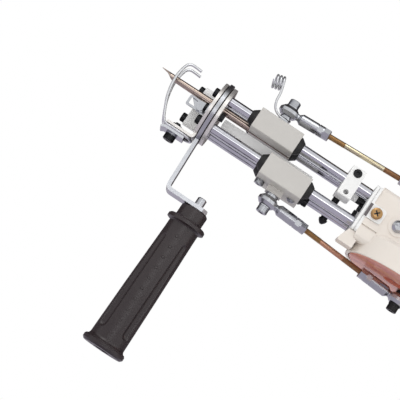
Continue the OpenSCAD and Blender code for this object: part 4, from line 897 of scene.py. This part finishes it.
def box_piece(name: str, low: Vector, high: Vector, coat: Coat, body: str) -> None:
    """A plain box between two corners, set on a body.

    Args:
        name: The piece's name.
        low: The corner with the least X, Y and Z, in metres.
        high: The opposite corner.
        coat: Its finish.
        body: The body that carries it.
    """
    form = bmesh.new()
    size = high - low
    place = Matrix.Translation((low + high) / 2) @ Matrix.Diagonal((*size, 1))
    bmesh.ops.create_cube(form, size=1.0, matrix=place)
    mesh = bpy.data.meshes.new(name)
    form.to_mesh(mesh)
    form.free()
    mesh.materials.append(coat.value.material())
    piece = bpy.data.objects.new(name, mesh)
    bpy.context.scene.collection.objects.link(piece)
    keep(piece, body)


@dataclass
class ScrewFace:
    """A cross-recessed pan head: its domed disc and a dark cross on it, painted shade that stands for the
    recess.

    Attributes:
        name: The piece's name.
        body: The body that carries it.
        spot: Middle of the head's underside, in metres.
        axis: The way that it faces.
        radius: Radius of the head in millimetres.
        height: Height of its dome.
        coat: Its finish.
    """

    name: str
    body: str
    spot: Vector
    axis: Vector
    radius: float
    height: float
    coat: Coat

    def build(self) -> None:
        """Turns the dome and sets on it a dark cross, painted shade for the recess."""
        r, h = self.radius, self.height
        dome = turned(
            self.name + "_dome", self.spot, self.axis,
            [(r, 0), (r, h * 0.35)] + [
                (r * math.cos(math.radians(a)), h * (0.35 + 0.65 * math.sin(math.radians(a))))
                for a in range(12, 84, 12)
            ] + [(0.1, h)],
            self.coat,
        )
        keep(dome, self.body)
        # The cross: two thin black boxes on the dome, painted shade where the recess lies in shadow
        form = bmesh.new()
        turn = self.axis.to_track_quat("Z", "Y").to_matrix().to_4x4()
        for angle in (45, 135):
            place = (
                Matrix.Translation(self.spot + self.axis * (h + 0.01) * MM) @ turn
                @ Matrix.Rotation(math.radians(angle), 4, "Z")
                @ Matrix.Diagonal((r * 1.05 * MM, r * 0.24 * MM, 0.16 * MM, 1))
            )
            bmesh.ops.create_cube(form, size=1.0, matrix=place)
        mesh = bpy.data.meshes.new(self.name + "_painted_cross_shade")
        form.to_mesh(mesh)
        form.free()
        mesh.materials.append(Coat.RUBBER_AND_RECESS_SHADE.value.material())
        cross = bpy.data.objects.new(self.name + "_painted_cross_shade", mesh)
        bpy.context.scene.collection.objects.link(cross)
        keep(cross, self.body)


@dataclass
class Studio:
    """Floor, white surroundings, soft lamps and the camera.

    Attributes:
        place: The tool's own frame.
        look_at: Point in the middle of the picture, in millimetres in the tool's frame.
        distance: From the camera to that point, in metres.
        azimuth: Turn of the camera to the rear, in degrees.
        elevation: Height of the camera above the point, in degrees.
        roll: Turn of the picture, in degrees.
        lens: Focal length on a 36 mm sensor.
        front_light: Where the white wall starts and ends, as turns round X from the rear.
        dark_room: Where the dark part behind it starts, is darkest and ends.
    """

    place: Place
    look_at: tuple[float, float, float] = (22.0, 0.0, -60.6)
    distance: float = 1.2
    azimuth: float = 2.5
    elevation: float = -9.5
    roll: float = 34.0
    lens: float = 144.0
    front_light: tuple[float, float] = (0.0, 0.7)
    dark_room: tuple[float, float, float] = (0.74, 0.86, 1.0)

    def camera(self) -> None:
        """Sets the camera at the photograph's viewing angle."""
        data = bpy.data.cameras.new("camera")
        data.lens = self.lens
        data.sensor_width = 36
        data.clip_start = 0.01
        eye = bpy.data.objects.new("camera", data)
        bpy.context.scene.collection.objects.link(eye)
        az, el = math.radians(self.azimuth), math.radians(self.elevation)
        away = Vector((math.sin(az) * math.cos(el), -math.cos(az) * math.cos(el), math.sin(el)))
        target = self.place.at(*self.look_at)
        eye.location = target + away * self.distance
        facing = (-away).to_track_quat("-Z", "Y").to_matrix()
        eye.rotation_euler = (facing @ Matrix.Rotation(math.radians(self.roll), 3, "Z")).to_euler()
        bpy.context.scene.camera = eye

    def lamp(self, name: str, spot: tuple[float, float, float], size: float, power: float) -> None:
        """Adds one soft square lamp that faces the tool.

        Args:
            name: The lamp's name.
            spot: Its place in metres from the tool's middle.
            size: Its side in metres.
            power: Its power in watts.
        """
        data = bpy.data.lights.new(name, "AREA")
        data.shape = "SQUARE"
        data.size = size
        data.energy = power
        lamp = bpy.data.objects.new(name, data)
        bpy.context.scene.collection.objects.link(lamp)
        target = self.place.at(60, 0, 0)
        lamp.location = target + Vector(spot)
        lamp.rotation_euler = (target - lamp.location).to_track_quat("-Z", "Y").to_euler()

    def world(self) -> None:
        """White to the camera, a white wall and a dark room to metal, soft light on the tool."""
        world = bpy.data.worlds.new("white_room")
        bpy.context.scene.world = world
        world.use_nodes = True
        tree = world.node_tree
        tree.nodes.clear()
        path = add(tree, "ShaderNodeLightPath")
        seen = add(
            tree, "ShaderNodeMath", {"operation": "ADD"},
            {0: path.outputs["Is Camera Ray"], 1: path.outputs["Is Glossy Ray"]},
        )
        shown = add(
            tree, "ShaderNodeMath", {"operation": "ADD", "use_clamp": True},
            {0: seen.outputs[0], 1: path.outputs["Is Transmission Ray"]},
        )
        strength = add(
            tree, "ShaderNodeMapRange", links={"Value": shown.outputs[0]}, To_Min=0.72, To_Max=1.0,
        )
        # Metal mirrors a dark room above and behind the tool, and a white wall in front of it
        ray = add(
            tree, "ShaderNodeSeparateXYZ", links={0: add(tree, "ShaderNodeTexCoord").outputs["Generated"]},
        )
        front = add(tree, "ShaderNodeMath", {"operation": "MULTIPLY"}, {0: ray.outputs[1]})
        front.inputs[1].default_value = -1
        angle = add(
            tree, "ShaderNodeMath", {"operation": "ARCTAN2"}, {0: ray.outputs[2], 1: front.outputs[0]},
        )
        room = add(tree, "ShaderNodeValToRGB", links={
            "Fac": add(
                tree, "ShaderNodeMapRange", links={"Value": angle.outputs[0]},
                From_Min=-math.pi, From_Max=math.pi,
            ).outputs["Result"],
        })
        stops = room.color_ramp.elements
        stops[0].position, stops[1].position = self.front_light
        for stop, colour in zip(stops, ("FFFFFF", "FFFFFF")):
            stop.color = linear(colour)
        for position, colour in zip(self.dark_room, ("3A3436", "2A2628", "6A6264")):
            stops.new(position).color = linear(colour)
        mirrored = add(
            tree, "ShaderNodeMix", {"data_type": "RGBA"}, {0: path.outputs["Is Glossy Ray"]},
        )
        mirrored.inputs[6].default_value = (1, 1, 1, 1)
        tree.links.new(room.outputs["Color"], mirrored.inputs[7])
        light = add(
            tree, "ShaderNodeBackground",
            links={"Strength": strength.outputs["Result"], "Color": mirrored.outputs[2]},
        )
        add(tree, "ShaderNodeOutputWorld", links={"Surface": light.outputs[0]})

    def floor(self) -> None:
        """Pale floor under the two handles, clear when seen from underneath."""
        mesh = bpy.data.meshes.new("floor")
        half = 3.0
        mesh.from_pydata(
            [(-half, -half, 0), (half, -half, 0), (half, half, 0), (-half, half, 0)], [], [(0, 1, 2, 3)],
        )
        floor = bpy.data.objects.new("floor", mesh)
        bpy.context.scene.collection.objects.link(floor)
        made = bpy.data.materials.new("pale_studio_floor")
        made.use_nodes = True
        tree = made.node_tree
        tree.nodes.clear()
        side = add(tree, "ShaderNodeNewGeometry").outputs["Backfacing"]
        top = add(tree, "ShaderNodeBsdfDiffuse")
        top.inputs["Color"].default_value = linear("F4F4F2")
        clear = add(tree, "ShaderNodeBsdfTransparent")
        both = add(
            tree, "ShaderNodeMixShader", links={0: side, 1: top.outputs[0], 2: clear.outputs[0]},
        )
        path = add(tree, "ShaderNodeLightPath")
        mirrored = add(
            tree, "ShaderNodeMath", {"operation": "ADD", "use_clamp": True},
            {0: path.outputs["Is Glossy Ray"], 1: path.outputs["Is Transmission Ray"]},
        )
        white = add(tree, "ShaderNodeEmission", Strength=1.0)
        white.inputs["Color"].default_value = linear("C9C3D0")
        seen = add(
            tree, "ShaderNodeMixShader",
            links={0: mirrored.outputs[0], 1: both.outputs[0], 2: white.outputs[0]},
        )
        add(tree, "ShaderNodeOutputMaterial", links={"Surface": seen.outputs[0]})
        mesh.materials.append(made)

    def card(self, name: str, low: Vector, high: Vector, grey: float) -> None:
        """A dark card that only reflections show, as a photographer sets beside bright metal.

        Args:
            name: The card's name.
            low: One corner, in metres.
            high: The opposite corner, at the same Y.
            grey: How bright it is in a reflection.
        """
        mesh = bpy.data.meshes.new(name)
        corners = [
            (low.x, low.y, low.z), (high.x, low.y, low.z), (high.x, high.y, high.z), (low.x, high.y, high.z),
        ]
        mesh.from_pydata(corners, [], [(0, 1, 2, 3)])
        card = bpy.data.objects.new(name, mesh)
        bpy.context.scene.collection.objects.link(card)
        made = bpy.data.materials.new(name)
        made.use_nodes = True
        tree = made.node_tree
        tree.nodes.clear()
        light = add(tree, "ShaderNodeEmission", Strength=grey)
        light.inputs["Color"].default_value = (1, 1, 1, 1)
        add(tree, "ShaderNodeOutputMaterial", links={"Surface": light.outputs[0]})
        mesh.materials.append(made)
        card.visible_camera = False
        card.visible_diffuse = False
        card.visible_shadow = False
        card.visible_transmission = False

    def build(self) -> None:
        """Sets up the whole studio."""
        bpy.context.scene.view_settings.view_transform = "Standard"
        self.camera()
        self.world()
        self.floor()
        self.lamp("key_lamp", (-0.7, -1.1, 1.3), 0.9, 7)
        self.lamp("fill_lamp", (1.2, -0.9, 0.4), 1.2, 1.5)
        self.lamp("low_lamp", (0.1, -0.7, -0.17), 0.3, 0.7)
        self.lamp("front_lamp", (-0.1, -1.6, -0.02), 0.5, 0.8)
        middle = self.place.at(60, 0, 0)
        self.card(
            "dark_card", middle + Vector((-1.5, -0.6, -0.172)), middle + Vector((1.5, -0.6, -0.112)), 0.06,
        )


# The pivot balls' places in the tool's frame, in millimetres
NEEDLE_BALLS = ((41, 0, 33.5), (173.607, -15.82, 35.5))
SCISSOR_BALLS = ((65, 0, -33.1), (187.393, 11.235, -39))
# Box of painted shade for the shadowed gap at the near tab's bend, 0.08 mm proud of it
TAB_GAP_SHADE_BOX = ((128.9, -28.68, -7.1), (131.2, -28.5, 3.9))
SCREW_DOME_H = 1.5
SCREW_DOME_SINK = 1.1
SCREW_DOME_MORE = 0.05


def connecting_rods(place: Place) -> None:
    """Builds both rods from ball to ball."""
    thread = thread_rule()
    low, high = (place.at(*ball) for ball in NEEDLE_BALLS)
    ConnectingRod(
        "needle_rod", "needle_rod_bar", "needle_rod", low, high, Coat.STRAW_ZINC, rear=-49.5,
    ).build(thread)
    low, high = (place.at(*ball) for ball in SCISSOR_BALLS)
    ConnectingRod(
        "scissor_rod", "scissor_rod_bar", "scissor_rod", low, high, Coat.ORANGE_ZINC,
    ).build(thread)


def near_tab(place: Place) -> None:
    """Builds the dark box of painted shade at the tab's bend and the face of its brass screw."""
    low, high = (place.at(*corner) for corner in TAB_GAP_SHADE_BOX)
    # A thin dark grey box: painted shade in the gap at the tab's bend
    box_piece("tab_gap_shade", low, high, Coat.TAB_GAP_SHADE, "frame")
    low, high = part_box("side_tab_screws")
    spot = Vector(((low[0] + high[0]) / 2, low[1] + SCREW_DOME_SINK * MM, (low[2] + high[2]) / 2))
    radius = (high[2] - low[2]) / 2 / MM + SCREW_DOME_MORE
    ScrewFace(
        "side_tab_screw_face", "frame", spot, Vector((0, -1, 0)), radius, SCREW_DOME_H,
        Coat.YELLOW_ZINC,
    ).build()


def main() -> None:
    """Dresses the frame, builds the detail and sets the studio."""
    logging.basicConfig(level=logging.INFO, format="%(message)s")
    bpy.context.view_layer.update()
    place = Place()
    dress_frame()
    wires = Wires(place, wire_rule())
    wires.presser_foot()
    wires.yarn_guide()
    connecting_rods(place)
    HeadKnurls(place, knurl_rule()).build()
    near_tab(place)
    Studio(place).build()


if __name__ == "__main__":
    main()
